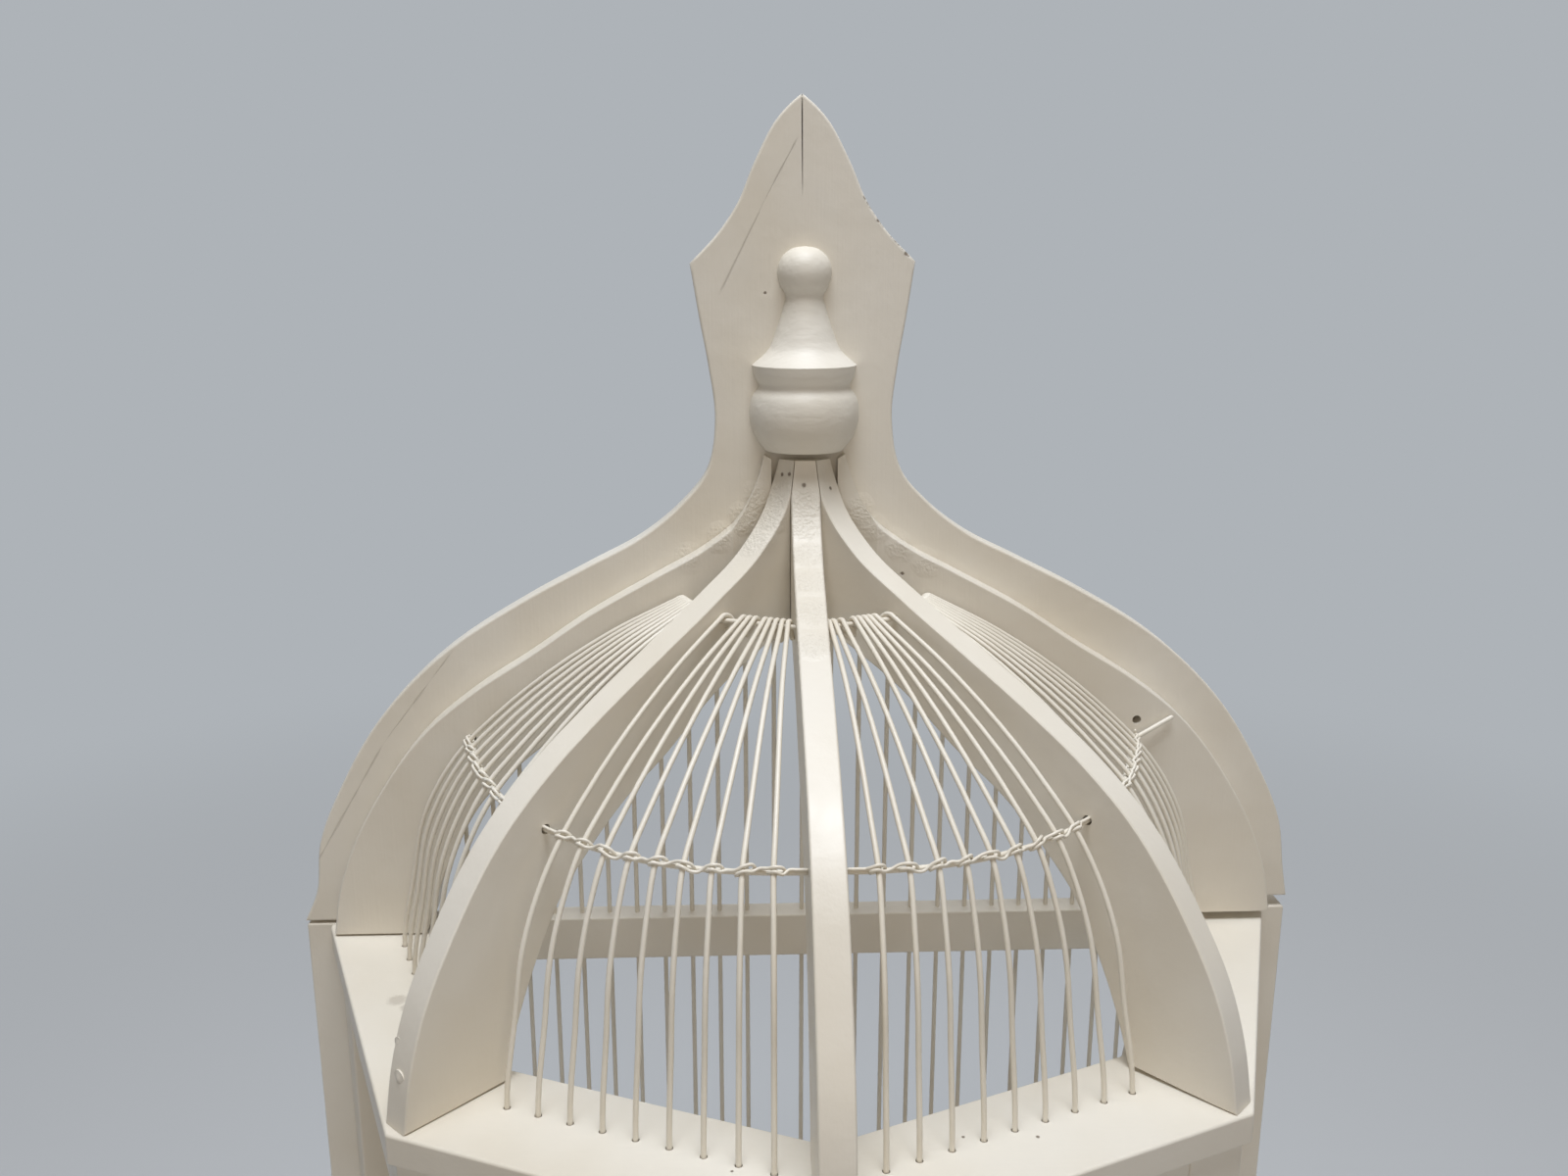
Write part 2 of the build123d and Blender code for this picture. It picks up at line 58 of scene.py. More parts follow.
# Driving sizes of the woodwork, read from the frame where a node shows them
shelf_low, shelf_high = frame_box("shelf")
stile_low, stile_high = frame_box("back_stile_left")
base_low, base_high = frame_box("base_plate")
door_low, door_high = frame_box("door_stile_left")
shelf_top = shelf_high[2]
board_t = shelf_high[2] - shelf_low[2]
under_shelf = shelf_low[2]
header_top = frame_box("door_header")[1][2]
header_z = header_top - board_t
back_w = base_high[0] - base_low[0]
stile_w = stile_high[0] - stile_low[0]
back_sill_top = frame_box("back_sill")[1][2]
shelf_r = shelf_high[0]
shelf_w = 47.0
frame_inset = 3.0
post_face_w = 23.0
post_depth = 32.0
rail_t = 16.0
frieze_h = 24.0
sill_h = 28.0
header_w = 33.0
soft_edge = 1.1
thin_edge = 0.8
slab_corner_share = 1.6

# The dome
board_inset = 1.0
dome_half_w = back_w / 2 - board_inset
dome_h = 346.7
crest_z = 283.1
crest_half_w = 45.1
board_lean = 0.5
board_shift = 1.8
left_foot_reach = 3.5
board_foot = dome_half_w + left_foot_reach
foot_gap = 1.2
joint_drop = 6.0
crack_foot = 308.0
crack_half_w = 0.3
rib_inset = 3.7
rib_r = shelf_r - rib_inset
rib_h = 207.0
rib_gap = 0.4
rib_tip_r = 2.5
back_tip_r = 13.6
back_tip_shares = (0.87, 0.82)
arch_r = back_w / 2 - stile_w
arch_h = 142.0
finial_lift = 3.3
finial_z = rib_h + finial_lift
finial_h = 81.0
finial_r = 22.3
# Height of each rib's foot over the shelf, at its outer and its inner end
foot_gaps = {"back_left": (1.0, 1.0), "front_left": (0.15, 1.0), "centre": (0, 0), "front_right": (0.15, 2.0),
             "back_right": (4.0, 4.0)}

# Wires
wire_r = 1.0
wire_play = 0.15
binding_r = 0.6
hole_r = 1.35
worn_hole_r = 1.9
wire_in = 4.0
overrun = 1.0
hole_depth = wire_in + overrun
bar_inset = 27.0
bar_pitch = 12.4
bar_count = 9
foot_margin = 6.0
# Radius at which the middle of a wire bends round another wire
hook_r = 2 * wire_r + wire_play
big_loop_r = 3.1
hook_turn = (70, 215)
hook_steps = 14
side_hook_gap = 0.36
side_hook_room = 1.0
top_wire_drop = 8.2
tail_direction = 280
tail_slant_share = 0.5
tail_shares = (0.35, 0.7, 1.0)
tie_drop = 16.3
tie_r_share = 0.703
tie_r = rib_r * tie_r_share
tie_bows = {"side": 4.0, "front": 11.0}
knee_pitch = 9.8
knee_normal = 39.0
empty_hole = (142.4, 95.0)
sprung_out = 16.0
sprung_up = 6.0
loose_sag = 3.5

# Door, hinges and turn button
door_gap = 1.0
door_frame_w = 14.0
hinge_len = 30.0
hinge_inset = 16.0
leaf_w = 11.0
leaf_t = 1.0
knuckle_r = 2.5
knuckle_lift = 0.2
knuckle_gap = 0.3
pin_r = 1.0
pin_overhang = 1.0
leaf_edge = 0.3
tongue_edge = 0.2
tongue_in = 0.5
knob_len = 14.0
knob_r = 6.5
button_len = 40.0
button_w = 8.0
button_t = 3.0
button_gap = 0.3
button_drop = 40.0
screw_head_r = 3.5
screw_head_t = 1.8
shank_r = 1.5
shank_len = 2.0
# Screw heads: radius, height, and the slot's width and depth
hinge_screw = (2.0, 0.5, 0.5, 0.4)
button_screw = (screw_head_r, screw_head_t, 0.8, 0.9)
head_sunk = 0.05
head_gap = 0.05

# Directions of the four panels and the five corners, in degrees from +X
panels = {"side_left": 202.5, "front_left": 247.5, "front_right": 292.5, "side_right": 337.5}
corners = {"back_left": 180.0, "front_left": 225.0, "centre": 270.0, "front_right": 315.0,
           "back_right": 360.0}
side_angle = 45.0
half_tan = math.tan(math.radians(side_angle / 2))
half_cos = math.cos(math.radians(side_angle / 2))
half_sin = math.sin(math.radians(side_angle / 2))
shelf_flat = shelf_r * half_cos
frame_flat = shelf_flat - frame_inset
bar_flat = shelf_flat - bar_inset
tie_flat = tie_r * half_cos
opening_half = frame_flat * half_tan - post_face_w

# Outlines as shares of the sizes that they follow, from the tip down or from the foot up
crest_shares = [(0, 1.0), (0.073, 0.96), (0.191, 0.879), (0.419, 0.602), (0.571, 0.36), (0.733, 0.195),
                (1.0, 0)]
flank_shares = [(0.19, 0.92), (0.176, 0.857), (0.166, 0.778), (0.186, 0.702), (0.234, 0.657), (0.306, 0.612),
                (0.416, 0.567), (0.53, 0.521), (0.717, 0.427), (0.836, 0.332), (0.915, 0.234), (0.972, 0.134),
                (0.989, 0.05)]
rib_shares = [(1.0, 0), (0.984, 0.091), (0.947, 0.203), (0.891, 0.304), (0.773, 0.457), (0.68, 0.533),
              (0.558, 0.609), (0.418, 0.685), (0.276, 0.761), (0.153, 0.837), (0.087, 0.908),
              (0.061, 0.964), (0.051, 1.0)]
back_rib_shares = [(1.0, 0), (0.984, 0.091), (0.944, 0.203), (0.889, 0.304), (0.77, 0.457),
                   (0.677, 0.531), (0.555, 0.609), (0.44, 0.686), (0.302, 0.763), (0.198, 0.821),
                   (0.137, 0.87), (0.103, 0.928), (0.088, 0.968), (0.08, 1.0)]
arch_shares = [(1.0, 0), (0.968, 0.118), (0.901, 0.296), (0.836, 0.426), (0.748, 0.532), (0.636, 0.636),
               (0.521, 0.713), (0.344, 0.851), (0.147, 0.958), (0.07, 0.99), (0, 1.0)]
finial_shares = [(0, 1.0), (0.24, 0.987), (0.42, 0.944), (0.489, 0.874), (0.43, 0.81), (0.345, 0.765),
                 (0.39, 0.7), (0.493, 0.609), (0.66, 0.5), (0.951, 0.425)]
bulb_shares = [(0.951, 0.425), (0.919, 0.378), (0.834, 0.321), (0.95, 0.27), (1.0, 0.191), (0.92, 0.08),
               (0.717, 0)]
knob_shares = [(0, 0), (0.62, 0), (0.55, 0.12), (0.52, 0.3), (0.7, 0.44), (0.95, 0.56), (1.0, 0.7),
               (0.93, 0.86), (0.7, 0.96), (0.35, 1.0), (0, 1.0)]


# Curves and frames
def unit(vectors):
    """Vectors at length one."""
    return vectors / np.linalg.norm(vectors, axis=-1, keepdims=True)


def scaled(shares, width, height, base=0.0):
    """Outline from shares of a width and a height, stood on a base."""
    return np.array(shares) * (width, height) + (0, base)


def smooth_line(points, per_span=8):
    """Cubic line through the points. The slope at a point is that of the parabola through it and its two
    neighbours, and each span is the Hermite cubic a(2t3-3t2+1) + m(t3-2t2+t) + b(3t2-2t3) + n(t3-t2)."""
    p = np.asarray(points, float)
    chord = np.linalg.norm(np.diff(p, axis=0), axis=1)[:, None]
    run = np.diff(p, axis=0) / chord
    inner = (run[:-1] * chord[1:] + run[1:] * chord[:-1]) / (chord[1:] + chord[:-1])
    slope = np.vstack([run[:1], inner, run[-1:]])
    t = np.linspace(0, 1, per_span, endpoint=False)[None, :, None]
    start, end = p[:-1, None], p[1:, None]
    leave, arrive = (slope[:-1] * chord)[:, None], (slope[1:] * chord)[:, None]
    line = (start * (2 * t ** 3 - 3 * t ** 2 + 1) + leave * (t ** 3 - 2 * t ** 2 + t)
            + end * (3 * t ** 2 - 2 * t ** 3) + arrive * (t ** 3 - t ** 2))
    return np.vstack([line.reshape(-1, p.shape[1]), p[-1:]])


def placed(points, angle):
    """Points given as out from the axis, along the panel and up, turned to the panel's direction."""
    a = math.radians(angle)
    axes = np.array([[math.cos(a), math.sin(a), 0], [-math.sin(a), math.cos(a), 0], [0, 0, 1]])
    return np.asarray(points, float) @ axes


def upward(angle):
    """Unit vector in a panel's upright plane, as out, along, up: 0 is outwards and 90 is up."""
    a = math.radians(angle)
    return np.array([math.cos(a), 0, math.sin(a)])


def along_panel(angle):
    """Direction along a panel."""
    return placed([0, 1.0, 0], angle)


def height_on(curve, x):
    """Height of a curve, given as points whose x falls, at one x."""
    return np.interp(x, curve[::-1, 0], curve[::-1, 1])


up = np.array([0, 0, 1.0])
rib_curve = smooth_line(scaled(rib_shares, rib_r, rib_h))
arch_curve = smooth_line(scaled(arch_shares, arch_r, arch_h))


# Shapes: each is (points, quads, flat end faces)
def grid_quads(rows, columns, closed=True):
    """Quads of a grid of points kept row by row. Closed joins the last column to the first."""
    r = np.arange(rows - 1)[:, None] * columns
    c = np.arange(columns if closed else columns - 1)[None, :]
    n = (c + 1) % columns
    return np.stack([r + c, r + n, r + columns + n, r + columns + c], -1).reshape(-1, 4)


def tube(path, radius, reference, sides=10):
    """Round rod: circles of the radius carried square to the path, with domed ends from smaller circles at
    shares k of the radius beyond each end, where the circle is sqrt(1 - k2) as wide."""
    path = np.asarray(path, float)
    along = unit(np.gradient(path, axis=0))
    dome = np.array([0.92, 0.7, 0.4])
    before = path[0] - along[0] * dome[:, None] * radius
    after = path[-1] + along[-1] * dome[::-1, None] * radius
    centres = np.vstack([before, path, after])
    cap = np.sqrt(1 - dome ** 2)
    widths = np.concatenate([cap, np.ones(len(path)), cap[::-1]])[:, None, None] * radius
    along = np.vstack([np.repeat(along[:1], len(dome), 0), along, np.repeat(along[-1:], len(dome), 0)])
    side = unit(np.cross(along, reference))
    top = np.cross(along, side)
    turn = np.linspace(0, 2 * math.pi, sides, endpoint=False)[None, :, None]
    rings = centres[:, None] + widths * (np.cos(turn) * side[:, None] + np.sin(turn) * top[:, None])
    rows = len(centres)
    ends = [np.arange(sides)[::-1], np.arange(sides) + (rows - 1) * sides]
    return rings.reshape(-1, 3), grid_quads(rows, sides), ends


def soft_corners(points, radius, steps=4):
    """Polygon whose corners are rounded: each corner c becomes the quadratic curve from c - d to c + d along
    its two edges, where d is the radius times the tangent of half the turn."""
    p = np.asarray(points, float)
    arrive = unit(p - np.roll(p, 1, 0))
    leave = unit(np.roll(p, -1, 0) - p)
    half_turn = np.arccos(np.clip((arrive * leave).sum(1), -1, 1)) / 2
    cut = (radius * np.tan(half_turn))[:, None, None]
    t = np.linspace(0, 1, steps)[None, :, None]
    start, end = p[:, None] - arrive[:, None] * cut, p[:, None] + leave[:, None] * cut
    return ((1 - t) ** 2 * start + 2 * t * (1 - t) * p[:, None] + t ** 2 * end).reshape(-1, p.shape[1])


def corner_moves(outline, depths):
    """How each point of an outline moves in when each edge moves in by its own depth d. The move m has
    m.n = d for the outward normals n of both edges, and on a smooth stretch it is d(n1 + n2)/(1 + n1.n2)."""
    smooth_turn = 0.1
    run = unit(np.roll(outline, -1, 0) - outline)
    after = np.stack([run[:, 1], -run[:, 0]], 1)
    before = np.roll(after, 1, 0)
    d_after, d_before = depths[:, None], np.roll(depths, 1)[:, None]
    cross = before[:, :1] * after[:, 1:] - before[:, 1:] * after[:, :1]
    nearly_straight = np.abs(cross) < smooth_turn
    safe = np.where(nearly_straight, 1.0, cross)
    exact = np.hstack([d_before * after[:, 1:] - d_after * before[:, 1:],
                       d_after * before[:, :1] - d_before * after[:, :1]]) / safe
    smooth = (before + after) / (1 + (before * after).sum(1, keepdims=True)) * (d_before + d_after) / 2
    return np.where(nearly_straight, smooth, exact)


def board(outline, low, high, edge, plain=False, steps=4):
    """Board with rounded edges: rings of the outline at both faces, moved in by e(1 - sin a) and on by
    e(1 - cos a) for the edge radius e, as a goes from nothing to a right angle. Plain marks edges that stay
    sharp."""
    p = np.asarray(outline, float)
    moves = corner_moves(p, np.where(plain, 0.0, np.ones(len(p))))
    a = np.linspace(0, math.pi / 2, steps)
    inset = edge * (1 - np.sin(a))
    rise = edge * (1 - np.cos(a))
    level = np.concatenate([low + rise, high - rise[::-1]])
    flat = p[None] - np.concatenate([inset, inset[::-1]])[:, None, None] * moves[None]
    points = np.concatenate([flat, np.broadcast_to(level[:, None, None], flat.shape[:2] + (1,))], 2)
    count = len(p)
    ends = [np.arange(count)[::-1], np.arange(count) + (2 * steps - 1) * count]
    return points.reshape(-1, 3), grid_quads(2 * steps, count), ends


def turned(profile, start=0.0, end=360.0, steps=48):
    """Turned piece: the profile, as radius and height from the axis out and back, carried round the axis. A
    part turn is closed by flat faces at both ends."""
    p = np.asarray(profile, float)
    whole = end - start == 360.0
    turn = np.radians(np.linspace(start, end, steps, endpoint=not whole))
    points = np.stack([np.outer(np.cos(turn), p[:, 0]), np.outer(np.sin(turn), p[:, 0]),
                       np.broadcast_to(p[:, 1], (steps, len(p)))], -1)
    quads = grid_quads(steps, len(p), closed=False)
    if whole:
        seam = np.arange(len(p) - 1)
        last = seam + (steps - 1) * len(p)
        quads = np.vstack([quads, np.stack([last, last + 1, seam + 1, seam], -1)])
        return points.reshape(-1, 3), quads, []
    ends = [np.arange(len(p)), (np.arange(len(p)) + (steps - 1) * len(p))[::-1]]
    return points.reshape(-1, 3), quads, ends


def joined(shapes):
    """Several shapes as one, each keeping its own shell."""
    starts = np.cumsum([0] + [len(points) for points, _, _ in shapes[:-1]])
    points = np.vstack([points for points, _, _ in shapes])
    quads = np.vstack([quads + start for (_, quads, _), start in zip(shapes, starts)])
    return points, quads, [face + start for (_, _, faces), start in zip(shapes, starts) for face in faces]


def moved(shape, change):
    """The shape with its points changed by a function."""
    points, quads, ends = shape
    return change(points), quads, ends


def on_face(shape, angle, out, along, z, turn=0.0):
    """A shape made upright on the origin, set on a panel's face: its x runs along the panel and its z
    outwards, after a turn about that z."""
    return moved(shape, lambda p: placed(placed(p, turn)[:, [2, 0, 1]] + (out, along, z), angle))


# Meshes and objects
scene = bpy.context.scene


def add_object(name, data):
    """Object of a mesh, a lamp or a camera, put into the scene."""
    obj = bpy.data.objects.new(name, data)
    scene.collection.objects.link(obj)
    return obj


def make_mesh(name, shape, planes=()):
    """Mesh in metres, merged, cut by planes and closed there, with all its faces outwards. Each plane is a
    point and the direction of what goes."""
    merge_mm = 0.001
    points, quads, ends = shape
    mesh = bpy.data.meshes.new(name)
    mesh.from_pydata((points * MM).tolist(), [], quads.tolist() + [face.tolist() for face in ends])
    work = bmesh.new()
    work.from_mesh(mesh)
    bmesh.ops.remove_doubles(work, verts=work.verts, dist=merge_mm * MM)
    for point, direction in planes:
        everything = work.verts[:] + work.edges[:] + work.faces[:]
        bmesh.ops.bisect_plane(work, geom=everything, plane_co=np.array(point) * MM, plane_no=direction,
                               clear_outer=True)
        bmesh.ops.holes_fill(work, edges=[edge for edge in work.edges if edge.is_boundary])
    bmesh.ops.recalc_face_normals(work, faces=work.faces)
    work.to_mesh(mesh)
    work.free()
    return mesh


def cut_out(obj, shapes):
    """Takes the shapes, such as drilled holes, out of an object's mesh."""
    cutter = add_object("cutter", make_mesh("cutter", joined(shapes)))
    modifier = obj.modifiers.new("holes", "BOOLEAN")
    modifier.object = cutter
    modifier.solver = "EXACT"
    whole = obj.data
    view = bpy.context.evaluated_depsgraph_get()
    obj.data = bpy.data.meshes.new_from_object(obj.evaluated_get(view))
    obj.modifiers.clear()
    bpy.data.meshes.remove(whole)
    bpy.data.meshes.remove(cutter.data)


def piece(name, shape, finish, body="cage", planes=(), holes=(), crease=50.0, replaced=True):
    """Makes an object of a shape, gives it the material of its finish and its body, and hides the CAD node
    that it stands for. Its faces are smooth up to the crease's angle, with normals that lean to the larger
    face, so flat faces look flat."""
    material, slot = finish
    mesh = make_mesh(name, shape, planes)
    mesh.materials.append(material)
    obj = add_object(name + "_look", mesh)
    if holes:
        cut_out(obj, holes)
    obj.data.set_sharp_from_angle(angle=math.radians(crease))
    obj.modifiers.new("even_normals", "WEIGHTED_NORMAL").keep_sharp = True
    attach(obj, body)
    if replaced:
        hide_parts(name)


# Materials
def linear(hex_colour):
    """sRGB hex to linear light: c / 12.92 up to 0.04045, and ((c + 0.055) / 1.055) to the 2.4 above it."""
    c = np.array([int(hex_colour[i:i + 2], 16) for i in (0, 2, 4)]) / 255
    return (*np.where(c <= 0.04045, c / 12.92, ((c + 0.055) / 1.055) ** 2.4).tolist(), 1.0)


def set_inputs(tree, node, inputs):
    """Sets a node's inputs, each a value or the output that feeds it."""
    for key, value in inputs.items():
        if isinstance(value, bpy.types.NodeSocket):
            tree.links.new(value, node.inputs[key])
        else:
            node.inputs[key].default_value = value


def add_node(tree, kind, inputs, output=0, **settings):
    """Adds a shader node with its inputs and settings, and gives one of its outputs. A Map Range takes its
    value at 0, the range that it comes from at 1 and 2, and the range that it goes to at 3 and 4."""
    node = tree.nodes.new("ShaderNode" + kind)
    for key, value in settings.items():
        setattr(node, key, value)
    set_inputs(tree, node, inputs)
    return node.outputs[output]


def new_material(name):
    """Material, the function that adds nodes to it, and the object coordinates in millimetres."""
    material = bpy.data.materials.new(name)
    material.use_nodes = True
    add = partial(add_node, material.node_tree)
    metres = add("TexCoord", {}, "Object")
    return material, add, add("VectorMath", {0: metres, "Scale": 1 / MM}, operation="SCALE")


def give_finish(material, colour, height, values):
    """Gives a material's shader its colour, its bump from a height in millimetres, and its other values."""
    tree = material.node_tree
    normal = add_node(tree, "Bump", {"Height": height, "Distance": MM, "Strength": 1.0})
    set_inputs(tree, tree.nodes["Principled BSDF"], {"Base Color": colour, "Normal": normal, **values})


def streaks(add, mm, sizes, detail):
    """Noise drawn out along the piece: its sizes along x, y and z are in millimetres."""
    scaled_mm = add("VectorMath", {0: mm, 1: [1 / size for size in sizes]}, operation="MULTIPLY")
    return add("TexNoise", {"Vector": scaled_mm, "Scale": 1.0, "Detail": detail})


# The ends of a Map Range that falls from one to nothing
falling = {3: 1.0, 4: 0.0}


def fleck_mask(add, mm, flecks, ragged):
    """One where the surface is within a fleck's radius of its place, with a ragged rim: the distance less a
    share of the noise, mapped from the rim's inner to its outer share of the radius."""
    rag_share, inner_share, outer_share = 0.8, 0.2, 0.75
    total = 0.0
    for place, radius in flecks:
        span = add("VectorMath", {0: mm, 1: place}, "Value", operation="DISTANCE")
        rough = add("Math", {0: ragged, 1: -rag_share * radius, 2: span}, operation="MULTIPLY_ADD")
        inside = add("MapRange", {0: rough, 1: inner_share * radius, 2: outer_share * radius, **falling})
        total = add("Math", {0: total, 1: inside}, operation="MAXIMUM")
    return total


def scratch_mask(add, mm, scratches, wander):
    """One along straight scratches, each from a to b with a half width: the distance of the point from the
    line is |(p - a) x (b - a)| / |b - a|, bent a little by noise, and it stops where the point is past either
    end."""
    wander_mm, fade_share, end_share = 1.6, 0.4, 0.52
    total = 0.0
    for start, end, half_w in scratches:
        a, b = np.array(start), np.array(end)
        length = float(np.linalg.norm(b - a))
        way, centre = ((b - a) / length).tolist(), ((a + b) / 2).tolist()
        off = add("VectorMath", {0: mm, 1: a.tolist()}, operation="SUBTRACT")
        side = add("VectorMath", {0: off, 1: way}, operation="CROSS_PRODUCT")
        far = add("VectorMath", {0: side}, "Value", operation="LENGTH")
        bent = add("Math", {0: wander, 1: -wander_mm, 2: far}, operation="MULTIPLY_ADD")
        size = add("Math", {0: bent, 1: wander_mm / 2}, operation="ADD")
        near = add("Math", {0: size}, operation="ABSOLUTE")
        line = add("MapRange", {0: near, 1: 0.0, 2: half_w, **falling})
        middle = add("VectorMath", {0: mm, 1: centre}, "Value", operation="DISTANCE")
        within = add("MapRange", {0: middle, 1: fade_share * length, 2: end_share * length, **falling})
        mark = add("Math", {0: line, 1: within}, operation="MULTIPLY")
        total = add("Math", {0: total, 1: mark}, operation="MAXIMUM")
    return total


def spots(rows):
    """Round marks on the dome. A row is x, y, the height over the shelf, and a radius."""
    return [((x, y, z + float(shelf_top)), radius) for x, y, z, radius in rows]


def board_lines(rows):
    """Straight marks on the back board's face. A row is x and height over the shelf at both ends, and half
    the mark's width."""
    top = float(shelf_top)
    return [((x1, 0, z1 + top), (x2, 0, z2 + top), half_w) for x1, z1, x2, z2, half_w in rows]


def rough_spots():
    """Thick rough paint along the outer edges of the ribs, over a span of heights each."""
    rough_r = 7.5
    back_curve = smooth_line(scaled(back_rib_shares, rib_r, rib_h))
    rows = []
    for corner, curve, low, high, count in (("centre", rib_curve, 148.0, 190.0, 6),
                                            ("front_left", rib_curve, 176.0, 193.0, 3),
                                            ("back_left", back_curve, 166.0, 192.0, 4),
                                            ("back_right", back_curve, 164.0, 186.0, 4)):
        for z in np.linspace(low, high, count):
            x, y, _ = placed([float(np.interp(z, curve[:, 1], curve[:, 0])), 0, 0], corners[corner])
            rows.append((x, y - board_t / 2 if "back" in corner else y, z, rough_r))
    return spots(rows)


# Wear that the enamel shows: thick rough patches, dark flecks where it is chipped or a nail is sunk,
# scratches, broken edges and stains
upright_wear = {
    "rough": rough_spots(),
    "chips": spots([(29.5, 0, 301.0, 0.9), (40.8, 0, 288.4, 1.1), (-9.4, -7.8, 201.2, 0.8),
                    (-6.6, -10.4, 201.7, 0.9), (-0.7, -13.4, 197.6, 0.9), (10.5, -9.7, 195.7, 0.8),
                    (40.2, -12, 160.1, 0.8), (133.1, -144.8, 38.3, 1.0), (-15.8, 0, 273.1, 0.6)]),
    "scratches": board_lines([(-2.7, 332.3, -18.0, 304.8, 0.35), (-16.5, 307.0, -34.0, 272.7, 0.45),
                              (-148.4, 125.4, -181.0, 83.6, 0.4), (-180.0, 85.0, -214.3, 27.5, 0.4)]),
    "edges": board_lines([(23.0, 311.0, 32.5, 297.4, 0.9), (34.0, 295.8, 42.5, 286.6, 0.8)])}
level_wear = {
    "chips": spots([(45.9, -157.1, 0, 0.6), (70.9, -158.0, 0, 0.7), (-31.7, -171.3, 0, 0.5)]),
    "stains": spots([(-164.8, -64.3, 0, 4.0), (-160.0, -70.0, 0, 2.5)])}
worn_wood = "6E5D4B"


def worn_enamel(add, mm, wear, lumps, paint, relief):
    """The enamel's colour and relief where it is worn: crumbs of thick paint in the rough patches, dark wood,
    a little sunk, in chips and broken edges, and a trace of its colour in scratches and stains."""
    crumb_mm, crumb_h, chip_depth, trace_share, bare_share = 1.3, 0.7, 0.4, 0.3, 0.85
    crumbs = add("TexNoise", {"Vector": mm, "Scale": 1 / crumb_mm, "Detail": 3.0})
    rough, bare, soiled = [fleck_mask(add, mm, wear.get(kind, ()), ragged)
                           for kind, ragged in (("rough", lumps), ("chips", crumbs), ("stains", crumbs))]
    scored = scratch_mask(add, mm, wear.get("scratches", ()), lumps)
    edges = scratch_mask(add, mm, wear.get("edges", ()), crumbs)
    thick = add("Math", {0: crumbs, 1: rough}, operation="MULTIPLY")
    edge_bare = add("MapRange", {0: edges, 1: 0.25, 2: 0.6, 3: 0.0, 4: 0.8})
    broken = add("Math", {0: bare, 1: edge_bare}, operation="MAXIMUM")
    dirty = 0.0
    for mask, part in ((scored, trace_share), (soiled, trace_share), (broken, bare_share)):
        dirty = add("Math", {0: mask, 1: part, 2: dirty}, operation="MULTIPLY_ADD", use_clamp=True)
    for layer, height in ((thick, crumb_h), (dirty, -chip_depth)):
        relief = add("Math", {0: layer, 1: height, 2: relief}, operation="MULTIPLY_ADD")
    return add("Mix", {0: dirty, 6: paint, 7: linear(worn_wood)}, 2, data_type="RGBA"), relief


def brushed_enamel(name, hex_base, hex_aged, stroke, stroke_mm=1.3, stroke_run_mm=60.0, roughness=0.4,
                   wear=None, ridge_mm=0.06):
    """Oil enamel brushed on in several coats: the eye sees soft brush lines along the piece, a fine orange
    peel, a slow drift towards yellow, and a satin gloss that varies a little. Wear is its lists of marks."""
    material, add, mm = new_material(name)
    peel_mm, peel_h, lump_mm, lump_h, drift_mm = 1.8, 0.04, 14.0, 0.3, 90.0
    glossier, duller = -0.05, 0.07
    drift, peel, lumps = [add("TexNoise", {"Vector": mm, "Scale": 1 / size, "Detail": detail})
                          for size, detail in ((drift_mm, 3.0), (peel_mm, 1.0), (lump_mm, 2.0))]
    lines = streaks(add, mm, [stroke_run_mm if axis == stroke else stroke_mm for axis in range(3)], 2.0)
    aged = add("MapRange", {0: drift, 1: 0.35, 2: 0.7})
    paint = add("Mix", {0: aged, 6: linear(hex_base), 7: linear(hex_aged)}, 2, data_type="RGBA")
    relief = 0.0
    for layer, height in ((peel, peel_h), (lines, ridge_mm), (lumps, lump_h)):
        relief = add("Math", {0: layer, 1: height, 2: relief}, operation="MULTIPLY_ADD")
    if wear:
        paint, relief = worn_enamel(add, mm, wear, lumps, paint, relief)
    gloss = add("MapRange", {0: lumps, 1: 0.3, 2: 0.7, 3: roughness + glossier, 4: roughness + duller})
    give_finish(material, paint, relief, {"Roughness": gloss, "IOR": 1.5})
    return material


def worked_metal(name, hex_colour, hex_dull, roughness, grain_mm):
    """Bare metal, drawn or turned: the eye sees a fine grain and a patchy film of duller colour and gloss."""
    material, add, mm = new_material(name)
    film_mm, grain_h, film_roughness = 5.0, 0.02, 0.2
    film = add("TexNoise", {"Vector": mm, "Scale": 1 / film_mm, "Detail": 3.0})
    grain = add("TexNoise", {"Vector": mm, "Scale": 1 / grain_mm, "Detail": 1.0})
    colour = add("Mix", {0: film, 6: linear(hex_colour), 7: linear(hex_dull)}, 2, data_type="RGBA")
    height = add("Math", {0: grain, 1: grain_h}, operation="MULTIPLY")
    gloss = add("MapRange", {0: film, 3: roughness, 4: roughness + film_roughness})
    give_finish(material, colour, height, {"Roughness": gloss, "Metallic": 1.0})
    return material


def sawn_beech(name):
    """Unpainted beech dowel: pale pinkish brown, with straight fine grain along it and short dark flecks."""
    material, add, mm = new_material(name)
    grain_mm, grain_run_mm, grain_h, fleck_mm, fleck_run_mm = 1.2, 80.0, 0.08, 0.5, 3.0
    grain = streaks(add, mm, (grain_run_mm, grain_mm, grain_mm), 3.0)
    flecks = streaks(add, mm, (fleck_run_mm, fleck_mm, fleck_mm), 1.0)
    dark = add("MapRange", {0: flecks, 1: 0.6, 2: 0.72})
    wood = add("Mix", {0: grain, 6: linear("D9B98F"), 7: linear("C29B6E")}, 2, data_type="RGBA")
    colour = add("Mix", {0: dark, 6: wood, 7: linear("9A7048")}, 2, data_type="RGBA")
    height = add("Math", {0: grain, 1: grain_h}, operation="MULTIPLY")
    give_finish(material, colour, height, {"Roughness": 0.62})
    return material


